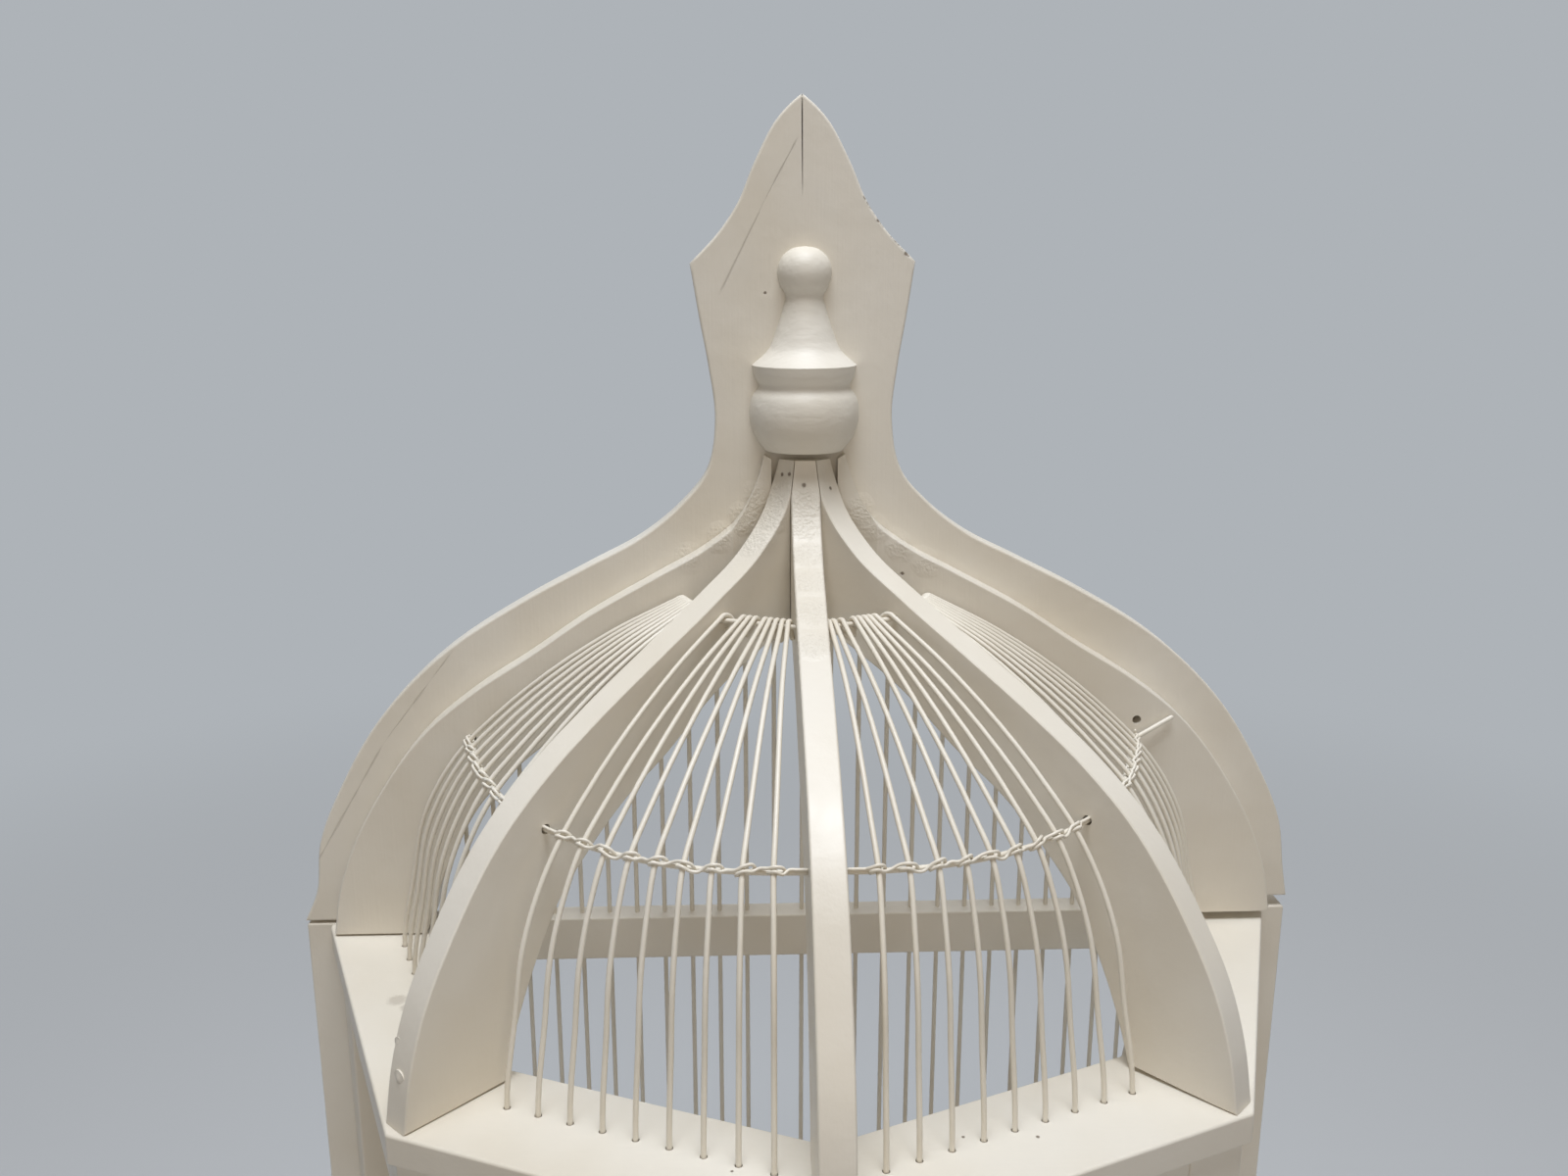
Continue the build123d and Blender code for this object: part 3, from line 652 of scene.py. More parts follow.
# Finishes, each a material and the record's slot that it belongs to. Brush strokes run along x or z.
cream, aged_cream = "E8E3D8", "DFD7C7"
across, upright = 0, 2
enamel_upright = (brushed_enamel("brushed_oil_enamel_upright", cream, aged_cream, upright, wear=upright_wear),
                  "painted_wood")
enamel_level = (brushed_enamel("brushed_oil_enamel_level", cream, aged_cream, across, wear=level_wear),
                "painted_wood")
turned_enamel = (brushed_enamel("thick_oil_enamel_on_turning", cream, aged_cream, across, 3.0, 12.0, 0.5,
                                ridge_mm=0.3), "painted_wood")
enamel_wire = (brushed_enamel("brushed_oil_enamel_on_wire", "ECE7DB", aged_cream, upright, 0.8, 8.0, 0.38),
               "painted_wire")
hinge_enamel = (brushed_enamel("oil_enamel_on_pressed_steel", "DDD4BE", aged_cream, upright, 0.9, 12.0, 0.3),
                "painted_hinge")
pin_steel = (worked_metal("drawn_steel_pin", "A9A9A6", "8B8985", 0.3, 0.4), "steel")
screw_brass = (worked_metal("turned_brass_screw", "C9A25A", "9C7B43", 0.28, 0.3), "brass")
dowel_beech = sawn_beech("sawn_beech_dowel")


# Back board: two halves that meet on the centreline, where the joint has opened near the tip
def lean(points):
    """Points of the back board as it stands: turned to the left about its left foot, then shifted."""
    a = math.radians(board_lean)
    turn = np.array([[math.cos(a), math.sin(a)], [-math.sin(a), math.cos(a)]])
    return (np.asarray(points, float) + (board_foot, 0)) @ turn + (board_shift - board_foot, 0)


def arch_beside(side):
    """The plumb arch on one side of the leaning joint, from the joint out to the foot's sloping underside."""
    near_joint, near_foot = 1.0, 0.5
    joint_x = lean((0, arch_h))[0]
    whole = np.vstack([arch_curve * (-1, 1), arch_curve[-2::-1]])
    if side < 0:
        whole = whole[::-1]
    (left_x, left_z), (right_x, right_z) = lean([(-arch_r, foot_gap), (arch_r, foot_gap)])
    over = whole[:, 1] - np.interp(whole[:, 0], [left_x, right_x], [left_z, right_z])
    kept = whole[(side * (whole[:, 0] - joint_x) > near_joint) & (over > near_foot)]
    low = whole[-2:]
    foot_x = np.interp(0, np.array([over[-1], over[-2]]), np.array([low[1, 0], low[0, 0]]))
    foot_z = np.interp(foot_x, [left_x, right_x], [left_z, right_z])
    return np.vstack([[(joint_x, arch_h)], kept, [(foot_x, foot_z)]])


def dome_board(side):
    """Half of the board: foot, flank, crest, joint and arch. The joint's edges stay sharp, and they part by
    the crack's width, which grows as the square root of the height above the crack's foot."""
    foot = board_foot if side < 0 else dome_half_w
    crest = smooth_line(scaled(crest_shares, crest_half_w, dome_h - crest_z, crest_z), 5)
    flank = smooth_line(np.vstack([[(crest_half_w, crest_z)], scaled(flank_shares, dome_half_w, crest_z),
                                   [(foot, foot_gap)]]), 6)
    joint_z = np.append(np.linspace(dome_h - joint_drop, crack_foot, 7), (crest_z + arch_h) / 2)
    opened = np.sqrt(np.clip((joint_z - crack_foot) / (dome_h - crack_foot), 0, 1))
    joint = np.stack([crack_half_w * opened, joint_z], 1)
    crest[0, 0] = crack_half_w
    own = np.vstack([flank[::-1], crest[::-1][1:], joint])
    arch = arch_beside(side)
    outline = np.vstack([lean(own * (side, 1)), arch])
    plain = np.zeros(len(outline), bool)
    plain[len(own) - len(joint) - 1:len(own)] = True
    if side < 0:
        outline = outline[::-1]
        plain = np.roll(plain[::-1], -1)
    return moved(board(outline, 0, board_t, soft_edge, plain), lambda p: p[:, [0, 2, 1]] + (0, 0, shelf_top))


for name, side in (("dome_board_left", -1), ("dome_board_right", 1)):
    piece(name, dome_board(side), enamel_upright)


# Where the wires run
def panel_ends(name, out):
    """How far a panel runs each way, to the faces of the ribs at its two ends."""
    reach = out * half_tan
    whole_lean = board_t / half_cos
    low = whole_lean if name == "side_left" else whole_lean / 2
    high = whole_lean if name == "side_right" else whole_lean / 2
    return low - reach, reach - high


def panel_middle(name):
    """Middle of a panel's wires, along the panel."""
    low, high = panel_ends(name, bar_flat)
    return (low + high) / 2


# The top wires stand as far out as leaves a side panel room for its hooks, past one rib and half of another
side_hook_pitch = 2 * wire_r + side_hook_gap
side_hooks = bar_count * side_hook_pitch + side_hook_room
top_flat = (side_hooks + 1.5 * board_t / half_cos) / (2 * half_tan) + hook_r
top_z = shelf_top + height_on(rib_curve, top_flat / half_cos) - top_wire_drop
tie_z = shelf_top + height_on(rib_curve, tie_r) - tie_drop
steps = np.arange(bar_count) - (bar_count - 1) / 2


def tie_point(name, along):
    """Tie wire: a parabola over the panel's width, bowed outwards. The one with a loose end sags to it."""
    low, high = panel_ends(name, tie_flat)
    share = (2 * along - low - high) / (high - low)
    sag = loose_sag * (share / 2 + 0.5) ** 2 if name == "side_right" else 0.0
    return np.array([tie_flat + tie_bows[name.split("_")[0]] * (1 - share ** 2), along, tie_z - sag])


def wire_holes():
    """The holes for the ends of the top wires and the tie wires, from outside each rib's face. The free end
    of the right-hand tie has come out of its hole, which stands empty in the back rib."""
    reach = (-overrun, hole_depth)
    holes = []
    for name, angle in panels.items():
        for end, sign in zip(panel_ends(name, top_flat), (-1, 1)):
            path = [[top_flat, end + sign * deep, top_z] for deep in reach]
            holes.append(tube(placed(path, angle), hole_r, up, 16))
        for end, sign in zip(panel_ends(name, tie_flat), (-1, 1)):
            if name == "side_right" and sign > 0:
                continue
            slope = sign * (tie_point(name, end)[0] - tie_point(name, end - sign)[0])
            path = [[tie_flat + sign * slope * deep, end + sign * deep, tie_z] for deep in reach]
            holes.append(tube(placed(path, angle), worn_hole_r, up, 16))
    x, z = empty_hole
    path = [[x, deep - board_t, shelf_top + z] for deep in (-overrun, 2 * hole_depth)]
    return holes + [tube(path, worn_hole_r, up, 20)]


# Ribs
def rib_outline(side):
    """A rib's outline in its own plane. A back rib, on one side of the board, is fuller near the tip and
    leans with the board, and its tip stops beside the front ribs."""
    inner = smooth_line(scaled(arch_shares[:-2], arch_r, arch_h))
    tip = [(rib_tip_r, rib_h), (rib_tip_r, arch_h)]
    if not side:
        return np.vstack([rib_curve, tip, inner[::-1]])
    fuller = smooth_line(scaled(back_rib_shares, rib_r, rib_h), 6)
    out_h, in_h = [share * rib_h for share in back_tip_shares]
    beside = [(back_tip_r, rib_h), (back_tip_r, out_h), (rib_tip_r, in_h), tip[1]]
    return np.vstack([lean(fuller * (side, 1)) * (side, 1), beside, inner[::-1]])


def paint_run(x, y, z, radius, height, angle):
    """Run of thick paint: a low dome z = h(1 + cos(pi r / R)) / 2 that stands on a face at an angle, with
    its foot a little under the face."""
    foot = -1.0
    r = np.linspace(0, radius, 7)
    dome = np.stack([r, height * (1 + np.cos(math.pi * r / radius)) / 2], 1)
    shape = turned(np.vstack([dome, [(radius, foot), (0, foot)]]), steps=20)
    return moved(shape, lambda p: placed(p[:, [2, 0, 1]], angle) + (x, y, shelf_top + z))


def rib(name, angle, holes):
    """Rib: its outline in the upright plane through the axis, given its thickness, and cut to its wedge so
    that the five tips close round the axis. The back ribs lie in front of the board, and all feet but the
    centre rib's are off the shelf."""
    side = {"back_left": -1, "back_right": 1}.get(name, 0)
    shape = board(rib_outline(side), (side - 1) * board_t / 2, (side + 1) * board_t / 2, soft_edge)
    shape = moved(shape, lambda p: placed(np.stack([p[:, 0], -p[:, 2], p[:, 1] + shelf_top], 1), angle))
    tip_point = placed([rib_gap / 2 / half_sin, 0, shelf_top], angle)
    planes = [(tip_point, placed([-half_sin, turn * half_cos, 0], angle)) for turn in (-1, 1)]
    outer_gap, inner_gap = foot_gaps[name]
    if outer_gap > 0:
        slope = (inner_gap - outer_gap) / (rib_r - arch_r)
        planes.append(placed([[rib_r, 0, shelf_top + outer_gap], [-slope, 0, -1]], angle))
    piece("rib_" + name, shape, enamel_upright, planes=planes, holes=holes, crease=20.0)


for name, angle in corners.items():
    rib(name, angle, wire_holes())
paint_runs = {"front_left": [(-144.3, -138.4, 27.7, 2.6, 0.7), (-143.6, -143.6, 17.8, 3.2, 0.8)],
              "front_right": [(140.6, -143.4, 23.0, 2.4, 0.6), (143.0, -143.8, 15.6, 2.0, 0.6)]}
runs = [paint_run(*row, corners[name]) for name, rows in paint_runs.items() for row in rows]
piece("paint_runs", joined(runs), enamel_upright, replaced=False)

# Finial, split down its middle and glued to the board
head = smooth_line(scaled(finial_shares, finial_r, finial_h, finial_z))
bulb = smooth_line(scaled(bulb_shares, finial_r, finial_h, finial_z))
finial = turned(np.vstack([head, bulb[1:], [(0, finial_z)]]), 180, 360, 40)
piece("crest_finial", moved(finial, lambda p: p + (0, 0, shelf_top)), turned_enamel)


# Shelf, base, posts and rails
def octagon_corners(radius):
    """The five corners of the half octagon at one radius."""
    turn = np.radians(list(corners.values()))
    return np.stack([np.cos(turn), np.sin(turn)], 1) * radius


def bar_feet(name):
    """Where the wires of a panel stand, as out and along."""
    return [(bar_flat, panel_middle(name) + step * bar_pitch) for step in steps]


outer, inner = octagon_corners(shelf_r), octagon_corners((shelf_flat - shelf_w) / half_cos)
shelf = board(soft_corners(np.vstack([outer, inner[::-1]]), 2 * soft_edge), under_shelf, shelf_top, soft_edge)
foot_levels = (under_shelf - 2 * overrun, shelf_top + 2 * overrun)
foot_holes = [tube(placed([[*foot, z] for z in foot_levels], angle), hole_r, along_panel(angle), 12)
              for name, angle in panels.items() for foot in bar_feet(name)]
piece("shelf", shelf, enamel_level, holes=foot_holes)
half_w = back_w / 2
base_outline = np.vstack([outer, [(half_w, 0), (half_w, board_t), (-half_w, board_t), (-half_w, 0)]])
piece("base_plate", board(soft_corners(base_outline, 2 * soft_edge), 0, board_t, soft_edge), enamel_level)


def slab(angle, out, along, z, edge=soft_edge):
    """Board with rounded edges between two distances out, two along the panel and two heights."""
    corner_r = slab_corner_share * edge
    outline = soft_corners([(along[0], z[0]), (along[1], z[0]), (along[1], z[1]), (along[0], z[1])], corner_r)
    return moved(board(outline, *out, edge), lambda p: placed(p[:, [2, 0, 1]], angle))


def post(angle):
    """Corner post: two faces that follow the octagon, with its sides square to them."""
    side = frame_flat * half_tan - post_face_w
    depths = (frame_flat - post_depth, frame_flat)
    edges = [[placed([out / half_cos, 0, 0], angle) for out in depths]]
    if angle > corners["back_left"]:
        edges.insert(0, [placed([out, side, 0], angle - side_angle / 2) for out in depths])
    if angle < corners["back_right"]:
        edges.append([placed([out, -side, 0], angle + side_angle / 2) for out in depths])
    outline = np.array([edge[1][:2] for edge in edges] + [edge[0][:2] for edge in reversed(edges)])
    return board(soft_corners(outline, slab_corner_share * thin_edge), board_t, under_shelf, thin_edge)


for name, angle in corners.items():
    piece("post_" + name, post(angle), enamel_upright)
panel_span = (-opening_half, opening_half)
rail_out = (frame_flat - rail_t, frame_flat)
rail_rises = {"frieze_": (under_shelf - frieze_h, under_shelf), "sill_": (board_t, board_t + sill_h)}
for name, angle in panels.items():
    for node, rise in rail_rises.items():
        piece(node + name, slab(angle, rail_out, panel_span, rise, thin_edge), enamel_level)
for node, finish in (("back_stile_left", enamel_upright), ("back_stile_right", enamel_upright),
                     ("back_rail", enamel_level), ("back_sill", enamel_level)):
    low, high = frame_box(node)
    piece(node, slab(90.0, (low[1], high[1]), (-high[0], -low[0]), (low[2], high[2]), thin_edge), finish)

# Hooks over the top wires. A row is one hook of a front panel: where it stands along the panel, how far it
# drifts along the wire as it turns, how its tail slants along the wire, and the tail's length. The side
# panels hold like shapes closer together.
hooks = {"front_left": [(-14.4, 3.6, -4.2, 5.0), (-6.5, 1.2, -3.0, 4.2), (-3.9, 1.0, -1.0, 4.6),
                        (-1.3, 1.0, 0.4, 4.0), (2.7, 0.6, -0.8, 5.8), (5.0, 0.5, 0.5, 4.4),
                        (7.6, 0.4, -0.6, 4.0), (10.1, 0.4, -0.6, 5.0), (12.6, 0.3, 0.4, 3.6)],
         "front_right": [(-14.3, -0.3, 0.5, 3.6), (-12.1, -0.4, -0.6, 4.2), (-8.7, -0.9, 1.9, 6.6),
                         (-3.5, -0.6, 0.8, 4.0), (-1.2, -0.6, -0.9, 4.4), (1.2, -0.8, 1.2, 4.0),
                         (3.4, -1.0, 1.6, 4.6), (6.0, -1.2, 2.4, 4.8), (12.5, -3.6, 4.4, 5.2)]}
big_loops = {("front_left", 0), ("front_right", 8)}
side_drift_share, side_slant_share = 0.2, 0.5
for side_panel, like in (("side_left", "front_right"), ("side_right", "front_left")):
    hooks[side_panel] = [(step * side_hook_pitch, side_drift_share * drift, side_slant_share * slant, length)
                         for step, (_, drift, slant, length) in zip(steps, hooks[like])]
# Points of a dome wire between its foot and the tie, and between the tie and its hook, as shares of the way
lower_shares = np.array([(0.185, 0.185, 0.355), (0.36, 0.36, 0.633), (0.6, 0.6, 0.81)])
upper_shares = np.array([(0.12, 0.12, 0.17), (0.68, 0.7, 0.77)])


def dome_wire(name, number):
    """Wire of the dome: up from the shelf, out over the tie wire and hooked over the top wire. There it turns
    on a circle in the upright plane, between the two directions of hook_turn, while it drifts along the wire,
    and ends in a slanting tail."""
    middle = panel_middle(name)
    place, drift, slant, tail_len = hooks[name][number]
    foot = np.array([bar_flat, middle + steps[number] * bar_pitch, shelf_top])
    knee = tie_point(name, middle + steps[number] * knee_pitch) + upward(knee_normal) * hook_r
    loop_r = big_loop_r if (name, number) in big_loops else hook_r
    centre = np.array([top_flat, middle + place, top_z - (loop_r - hook_r)])
    slide = np.array([0, 1.0, 0])
    turns = zip(np.linspace(*hook_turn, hook_steps), np.linspace(0, drift, hook_steps))
    hook = np.array([centre + upward(a) * loop_r + slide * gone for a, gone in turns])
    lower = foot + lower_shares * (knee - foot)
    upper = knee + upper_shares * (hook[0] - knee)
    way = unit(upward(tail_direction) + slide * tail_slant_share * slant)
    tail = [hook[-1] + way * tail_len * share for share in tail_shares]
    rise = smooth_line(np.vstack([foot - (0, 0, hole_depth), foot, lower, knee, upper, hook[:1]]), 6)
    return placed(np.vstack([rise, hook[1:], tail]), panels[name])


def binding_wire(name):
    """Thin wire that lashes each upright to the tie. Round each crossing it goes over the upright's upper
    side, round an eye at the right, behind the tie, round an eye at the left, back over the upright's lower
    side, and then crosses the tie slantwise to the next. Points there are given along the tie, up the upright
    and out. Two sine waves over the crossings' numbers change the loops' size and slant a little."""
    lead, trail, end_in = 3.5, 4.5, 3.0
    size_swing, slant_swing = 0.1, 0.24
    loop = np.array([(-2.6, 0.4, 2.5), (0, 0.9, 3.75), (2.3, 1.2, 2.9), (3.3, 0.6, 0.8), (0.6, 0.2, -1.75),
                     (-1.8, -0.5, -0.8), (-2.3, -0.9, 1.6), (0, -0.7, 3.75), (2.4, -0.9, 2.2),
                     (4.9, -0.2, 1.65)])
    alongs = panel_middle(name) + steps * knee_pitch
    low, high = panel_ends(name, tie_flat)
    route = []
    if name != "side_right":
        before = np.linspace(low - end_in, alongs[0] - lead, 5)
        route.append([tie_point(name, along) + (1.0, 0, 1.3) for along in before])
    for number, along in enumerate(alongs):
        origin = tie_point(name, along)
        ahead = unit(tie_point(name, along + 1) - tie_point(name, along - 1))
        out = unit(upward(knee_normal) - ahead * (upward(knee_normal) @ ahead))
        rise = np.cross(out, ahead)
        wobble = 1 + size_swing * math.sin(2.3 * number + len(name))
        slack = slant_swing * math.sin(1.9 * number + 2 * len(name))
        points = loop[:-1] if number == bar_count - 1 else loop
        route.append(origin + points @ np.stack([(ahead + slack * rise) * wobble, rise * wobble, out]))
    if name == "side_right":
        curl = [(2.2, 0.3, 3.0), (3.0, 1.4, 3.3), (2.5, 2.4, 3.9)]
        route.append(origin + np.array(curl) @ np.stack([ahead, rise, out]))
    else:
        after = np.linspace(alongs[-1] + trail, high + end_in, 4)
        route.append([tie_point(name, along) + (0.9, 0, 1.35) for along in after])
    return placed(smooth_line(np.vstack(route), 5), panels[name])


def tie_wire(name):
    """Tie wire with its ends in the ribs, but for the right-hand one, whose free end is sprung out and up
    past the last upright, beside the back rib."""
    low, high = panel_ends(name, tie_flat)
    if name != "side_right":
        return np.array([tie_point(name, along) for along in np.linspace(low - wire_in, high + wire_in, 26)])
    bend = panel_middle(name) + steps[-1] * knee_pitch + 2 * wire_r
    bow = np.array([tie_point(name, along) for along in np.linspace(low - wire_in, bend, 20)])
    free_out = tie_flat + sprung_out
    free_end = [free_out, free_out * half_tan - board_t / half_cos - 2 * wire_r, tie_z + sprung_up]
    return np.vstack([bow, np.linspace(bow[-1], free_end, 6)[1:]])


# A direction that the binding wire's route never runs in
binding_side = np.array([0.31, 0.17, 0.93])
top_wires, tie_wires, bindings = [], [], []
for name, angle in panels.items():
    wires = [tube(dome_wire(name, number), wire_r, along_panel(angle)) for number in range(bar_count)]
    piece("dome_wires_" + name, joined(wires), enamel_wire)
    low, high = panel_ends(name, top_flat)
    ends = placed([[top_flat, along, top_z] for along in (low - wire_in, high + wire_in)], angle)
    top_wires.append(tube(np.linspace(*ends, 6), wire_r, up))
    tie_wires.append(tube(placed(tie_wire(name), angle), wire_r, up))
    bindings.append(tube(binding_wire(name), binding_r, binding_side, 8))
piece("top_wires", joined(top_wires), enamel_wire)
piece("tie_wires", joined(tie_wires + bindings), enamel_wire)


# Straight wires of the body and the back
def upright_wire(foot, levels, angle=0.0):
    """Wire over a foot, given as out and along, through the levels."""
    forward = np.array([0, 1.0, 0])
    return tube(placed([[*foot, z] for z in levels], angle), wire_r, forward)


for name, angle in panels.items():
    low = header_top if name == "front_right" else board_t
    levels = np.linspace(low - hole_depth, shelf_top - hole_depth - overrun, 5)
    wires = [upright_wire(foot, levels, angle) for foot in bar_feet(name)]
    piece("body_wires_" + name, joined(wires), enamel_wire)
back_count = int((arch_r - foot_margin) / bar_pitch)
back_wires = []
for x in np.arange(-back_count, back_count + 1) * bar_pitch:
    top = shelf_top + height_on(arch_curve, abs(x)) + wire_in
    back_wires.append(upright_wire((x, board_t / 2), np.linspace(back_sill_top - hole_depth, top, 6)))
piece("back_wires", joined(back_wires), enamel_wire)


# Door in the right front panel, its hinges, knob and turn button
def screw_head(radius, height, slot_w, slot_depth):
    """Slotted head: two half rounds with the slot between them, on a disc that is the slot's floor."""
    edge_share, disc_share, steps_round = 0.35, 0.97, 14
    away = math.asin(slot_w / 2 / radius)
    arc = np.linspace(away, math.pi - away, steps_round)
    half = np.stack([np.cos(arc), np.sin(arc)], 1) * radius
    upper = board(half, 0, height, edge_share * height)
    lower = moved(upper, lambda p: p * (-1, -1, 1))
    disc_r = disc_share * radius
    floor_z = height - slot_depth
    disc = turned([(0, 0), (disc_r, 0), (disc_r, floor_z), (0, floor_z)], steps=2 * steps_round)
    return joined([upper, lower, disc])


def barrel(angle, out, along, low, high, radius):
    """Rolled knuckle: a turned bar with its end edges broken."""
    bevel_share = 0.12
    bevel = bevel_share * radius
    profile = [(0, low), (radius - bevel, low), (radius, low + bevel), (radius, high - bevel),
               (radius - bevel, high), (0, high)]
    return moved(turned(profile, steps=28), lambda p: p + placed([out, along, 0], angle))


def hinge(middle, angle, along):
    """One butt hinge: the shapes of its door leaf and of its post leaf, each with two screws whose slots
    stand at their own turns, and its pin."""
    rise_share, out_share = 0.3, 0.6
    low = middle - hinge_len / 2
    out = frame_flat + knuckle_r + knuckle_lift
    faces = (frame_flat, frame_flat + leaf_t)
    near = knuckle_r + knuckle_gap
    third = hinge_len / 3
    leaves = {-1: [], 1: []}
    for side, parts in leaves.items():
        span = sorted((along + side * near, along + side * (near + leaf_w)))
        parts.append(slab(angle, faces, span, (low, low + hinge_len), leaf_edge))
        for z in (middle - rise_share * hinge_len, middle + rise_share * hinge_len):
            place = (angle, faces[1] - head_sunk, along + side * (near + out_share * leaf_w), z)
            parts.append(on_face(screw_head(*hinge_screw), *place, 35 + 4 * z))
    for number in range(3):
        side = -1 if number == 1 else 1
        z = (low + third * number + knuckle_gap / 2, low + third * (number + 1) - knuckle_gap / 2)
        leaves[side].append(barrel(angle, out, along, *z, knuckle_r))
        tongue = sorted((along, along + side * (near + tongue_in)))
        leaves[side].append(slab(angle, faces, tongue, z, tongue_edge))
    pin = barrel(angle, out, along, low - pin_overhang, low + hinge_len + pin_overhang, pin_r)
    return leaves[-1], leaves[1], pin


def door(angle):
    """The door's frame and bars, its hinges, its knob and the header over it."""
    low, high = door_low[2], door_high[2]
    half = opening_half - door_gap
    inner_half = half - door_frame_w
    out = (frame_flat - board_t, frame_flat)
    frame_parts = {"door_stile_left": ((-half, -inner_half), (low, high)),
                   "door_stile_right": ((inner_half, half), (low, high)),
                   "door_rail_top": ((-inner_half, inner_half), (high - door_frame_w, high)),
                   "door_rail_bottom": ((-inner_half, inner_half), (low, low + door_frame_w))}
    for node, (span, rise) in frame_parts.items():
        piece(node, slab(angle, out, span, rise), enamel_level if "rail" in node else enamel_upright, "door")
    gaps = math.ceil(2 * inner_half / bar_pitch)
    levels = np.linspace(low + door_frame_w - wire_in, high - door_frame_w + wire_in, 4)
    alongs = np.arange(1, gaps) * 2 * inner_half / gaps - inner_half
    bars = [upright_wire((frame_flat - board_t / 2, along), levels, angle) for along in alongs]
    piece("door_bars", joined(bars), enamel_wire, "door")
    header_out = (frame_flat - header_w, frame_flat)
    piece("door_header", slab(angle, header_out, panel_span, (header_z, header_top), thin_edge), enamel_level)
    in_from_end = hinge_inset + hinge_len / 2
    hinges = [hinge(z, angle, opening_half - door_gap / 2)
              for z in (board_t + sill_h + in_from_end, header_z - in_from_end)]
    door_leaves, post_leaves, pins = zip(*hinges)
    piece("hinge_leaves_door", joined(sum(door_leaves, [])), hinge_enamel, "door")
    piece("hinge_leaves_post", joined(sum(post_leaves, [])), hinge_enamel)
    piece("hinge_pins", joined(pins), pin_steel)
    profile = scaled(knob_shares, knob_r, knob_len)
    knob = joined([turned(smooth_line(profile[2:], 4), steps=36), turned(profile[:3], steps=36)])
    place = (angle, frame_flat, door_frame_w / 2 - half, (board_t + sill_h + header_z) / 2)
    piece("door_knob", on_face(knob, *place), turned_enamel, "door")


def button(angle):
    """Turn button on the centre post: a bar with round ends, held by a round-head brass screw."""
    along = -(opening_half + post_face_w / 2 - screw_head_r)
    z = header_z - button_drop
    turn = np.linspace(0, math.pi, 12)
    end = np.stack([np.cos(turn), np.sin(turn)], 1) * button_w / 2 + (0, (button_len - button_w) / 2)
    bar = board(np.vstack([end, -end]), 0, button_t, thin_edge)
    out = frame_flat + button_gap
    piece("turn_button", on_face(bar, angle, out, along, z), enamel_upright, "turn_button")
    shank = turned([(0, -shank_len), (shank_r, -shank_len), (shank_r, 0), (0, 0)], steps=20)
    screw = joined([screw_head(*button_screw), shank])
    piece("button_screw", on_face(screw, angle, out + button_t + head_gap, along, z, 20), screw_brass)


door(panels["front_right"])
button(panels["front_right"])
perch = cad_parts["perch"]
perch.data.materials.clear()
perch.data.materials.append(dowel_beech)

# Plain lit stage, camera and lamps
backdrop = "AEB3B8"
scene.view_settings.view_transform = "Standard"


def plain_rays(tree):
    """1 for the rays that meet the backdrop's plain colour: from the camera, mirrored, or let through."""
    seen = add_node(tree, "LightPath", {}).node.outputs
    factor = seen["Is Camera Ray"]
    for way in ("Is Glossy Ray", "Is Transmission Ray"):
        factor = add_node(tree, "Math", {0: factor, 1: seen[way]}, operation="MAXIMUM")
    return factor


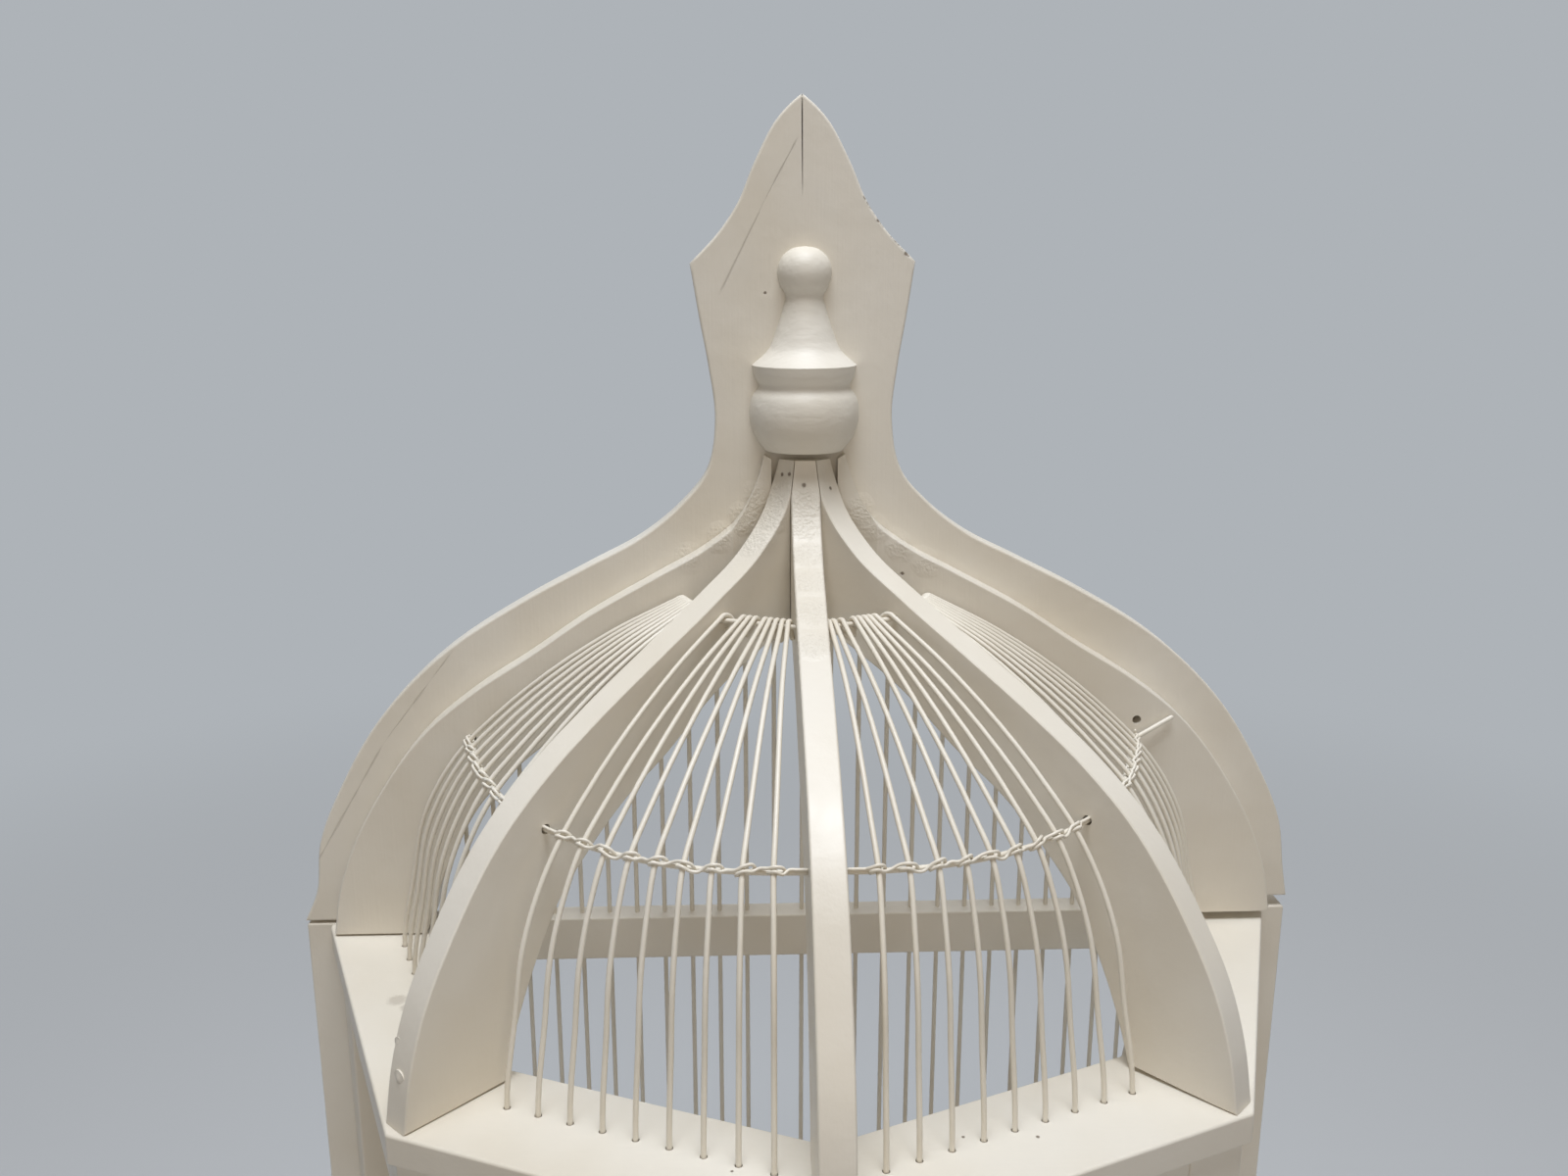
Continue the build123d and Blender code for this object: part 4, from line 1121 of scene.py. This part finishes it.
def stage_floor(hex_colour):
    """Matt pale floor that holds the object's shadow and fades into the backdrop's plain colour further
    away."""
    reach, near_fade, far_fade = 40.0, 0.45, 1.5
    mesh = bpy.data.meshes.new("floor")
    square = [(-reach, -reach, 0), (reach, -reach, 0), (reach, reach, 0), (-reach, reach, 0)]
    mesh.from_pydata(square, [], [(0, 1, 2, 3)])
    paint = bpy.data.materials.new("matt_floor")
    paint.use_nodes = True
    tree = paint.node_tree
    shader = tree.nodes["Principled BSDF"]
    set_inputs(tree, shader, {"Base Color": linear(hex_colour), "Roughness": 0.9})
    metres = add_node(tree, "TexCoord", {}, "Object")
    away = add_node(tree, "VectorMath", {0: metres}, "Value", operation="LENGTH")
    fade = add_node(tree, "MapRange", {0: away, 1: near_fade, 2: far_fade}, interpolation_type="SMOOTHSTEP")
    factor = add_node(tree, "Math", {0: fade, 1: plain_rays(tree)}, operation="MULTIPLY")
    plain = add_node(tree, "Emission", {"Color": linear(backdrop), "Strength": 1.0})
    mix = add_node(tree, "MixShader", {0: factor, 1: shader.outputs[0], 2: plain})
    set_inputs(tree, tree.nodes["Material Output"], {"Surface": mix})
    mesh.materials.append(paint)
    floor = add_object("floor", mesh)


def soft_world(hex_colour, level):
    """Even soft light from all round, and the backdrop's plain colour where it is seen past the floor."""
    world = bpy.data.worlds.new("studio")
    scene.world = world
    world.use_nodes = True
    tree = world.node_tree
    light = tree.nodes["Background"]
    set_inputs(tree, light, {"Color": linear(hex_colour), "Strength": level})
    plain = add_node(tree, "Background", {"Color": linear(backdrop), "Strength": 1.0})
    mix = add_node(tree, "MixShader", {0: plain_rays(tree), 1: light.outputs[0], 2: plain})
    set_inputs(tree, tree.nodes["World Output"], {"Surface": mix})


def lamp(name, place, size, power, hex_colour):
    """Square soft lamp that looks at the object's middle, in metres and watts."""
    middle = np.array((0.0, -0.1, 0.45))
    light = bpy.data.lights.new(name, "AREA")
    light.color = linear(hex_colour)[:3]
    light.size = size
    light.energy = power
    obj = add_object(name, light)
    obj.location = place
    x, y, z = middle - place
    obj.rotation_euler = (math.pi / 2 - math.atan2(-z, math.hypot(x, y)), 0, math.atan2(-x, y))


stage_floor("C4C8CC")
soft_world("FFF4E8", 0.17)
lamp("overhead", (0.0, -0.35, 2.2), 0.9, 32, "F3F8FF")
lamp("front", (0.2, -2.2, 1.1), 1.4, 7, "FFE8CC")
lamp("back", (0.2, 1.2, 1.8), 1.2, 5, "FFFFFF")

camera_data = bpy.data.cameras.new("camera")
camera_data.sensor_width = 36.0
camera_data.lens = 30.25
camera = add_object("camera", camera_data)
camera.location = (-0.0292, -0.5397, 0.615)
camera.rotation_euler = (math.radians(76.12), 0, math.radians(-2.2256))
scene.camera = camera
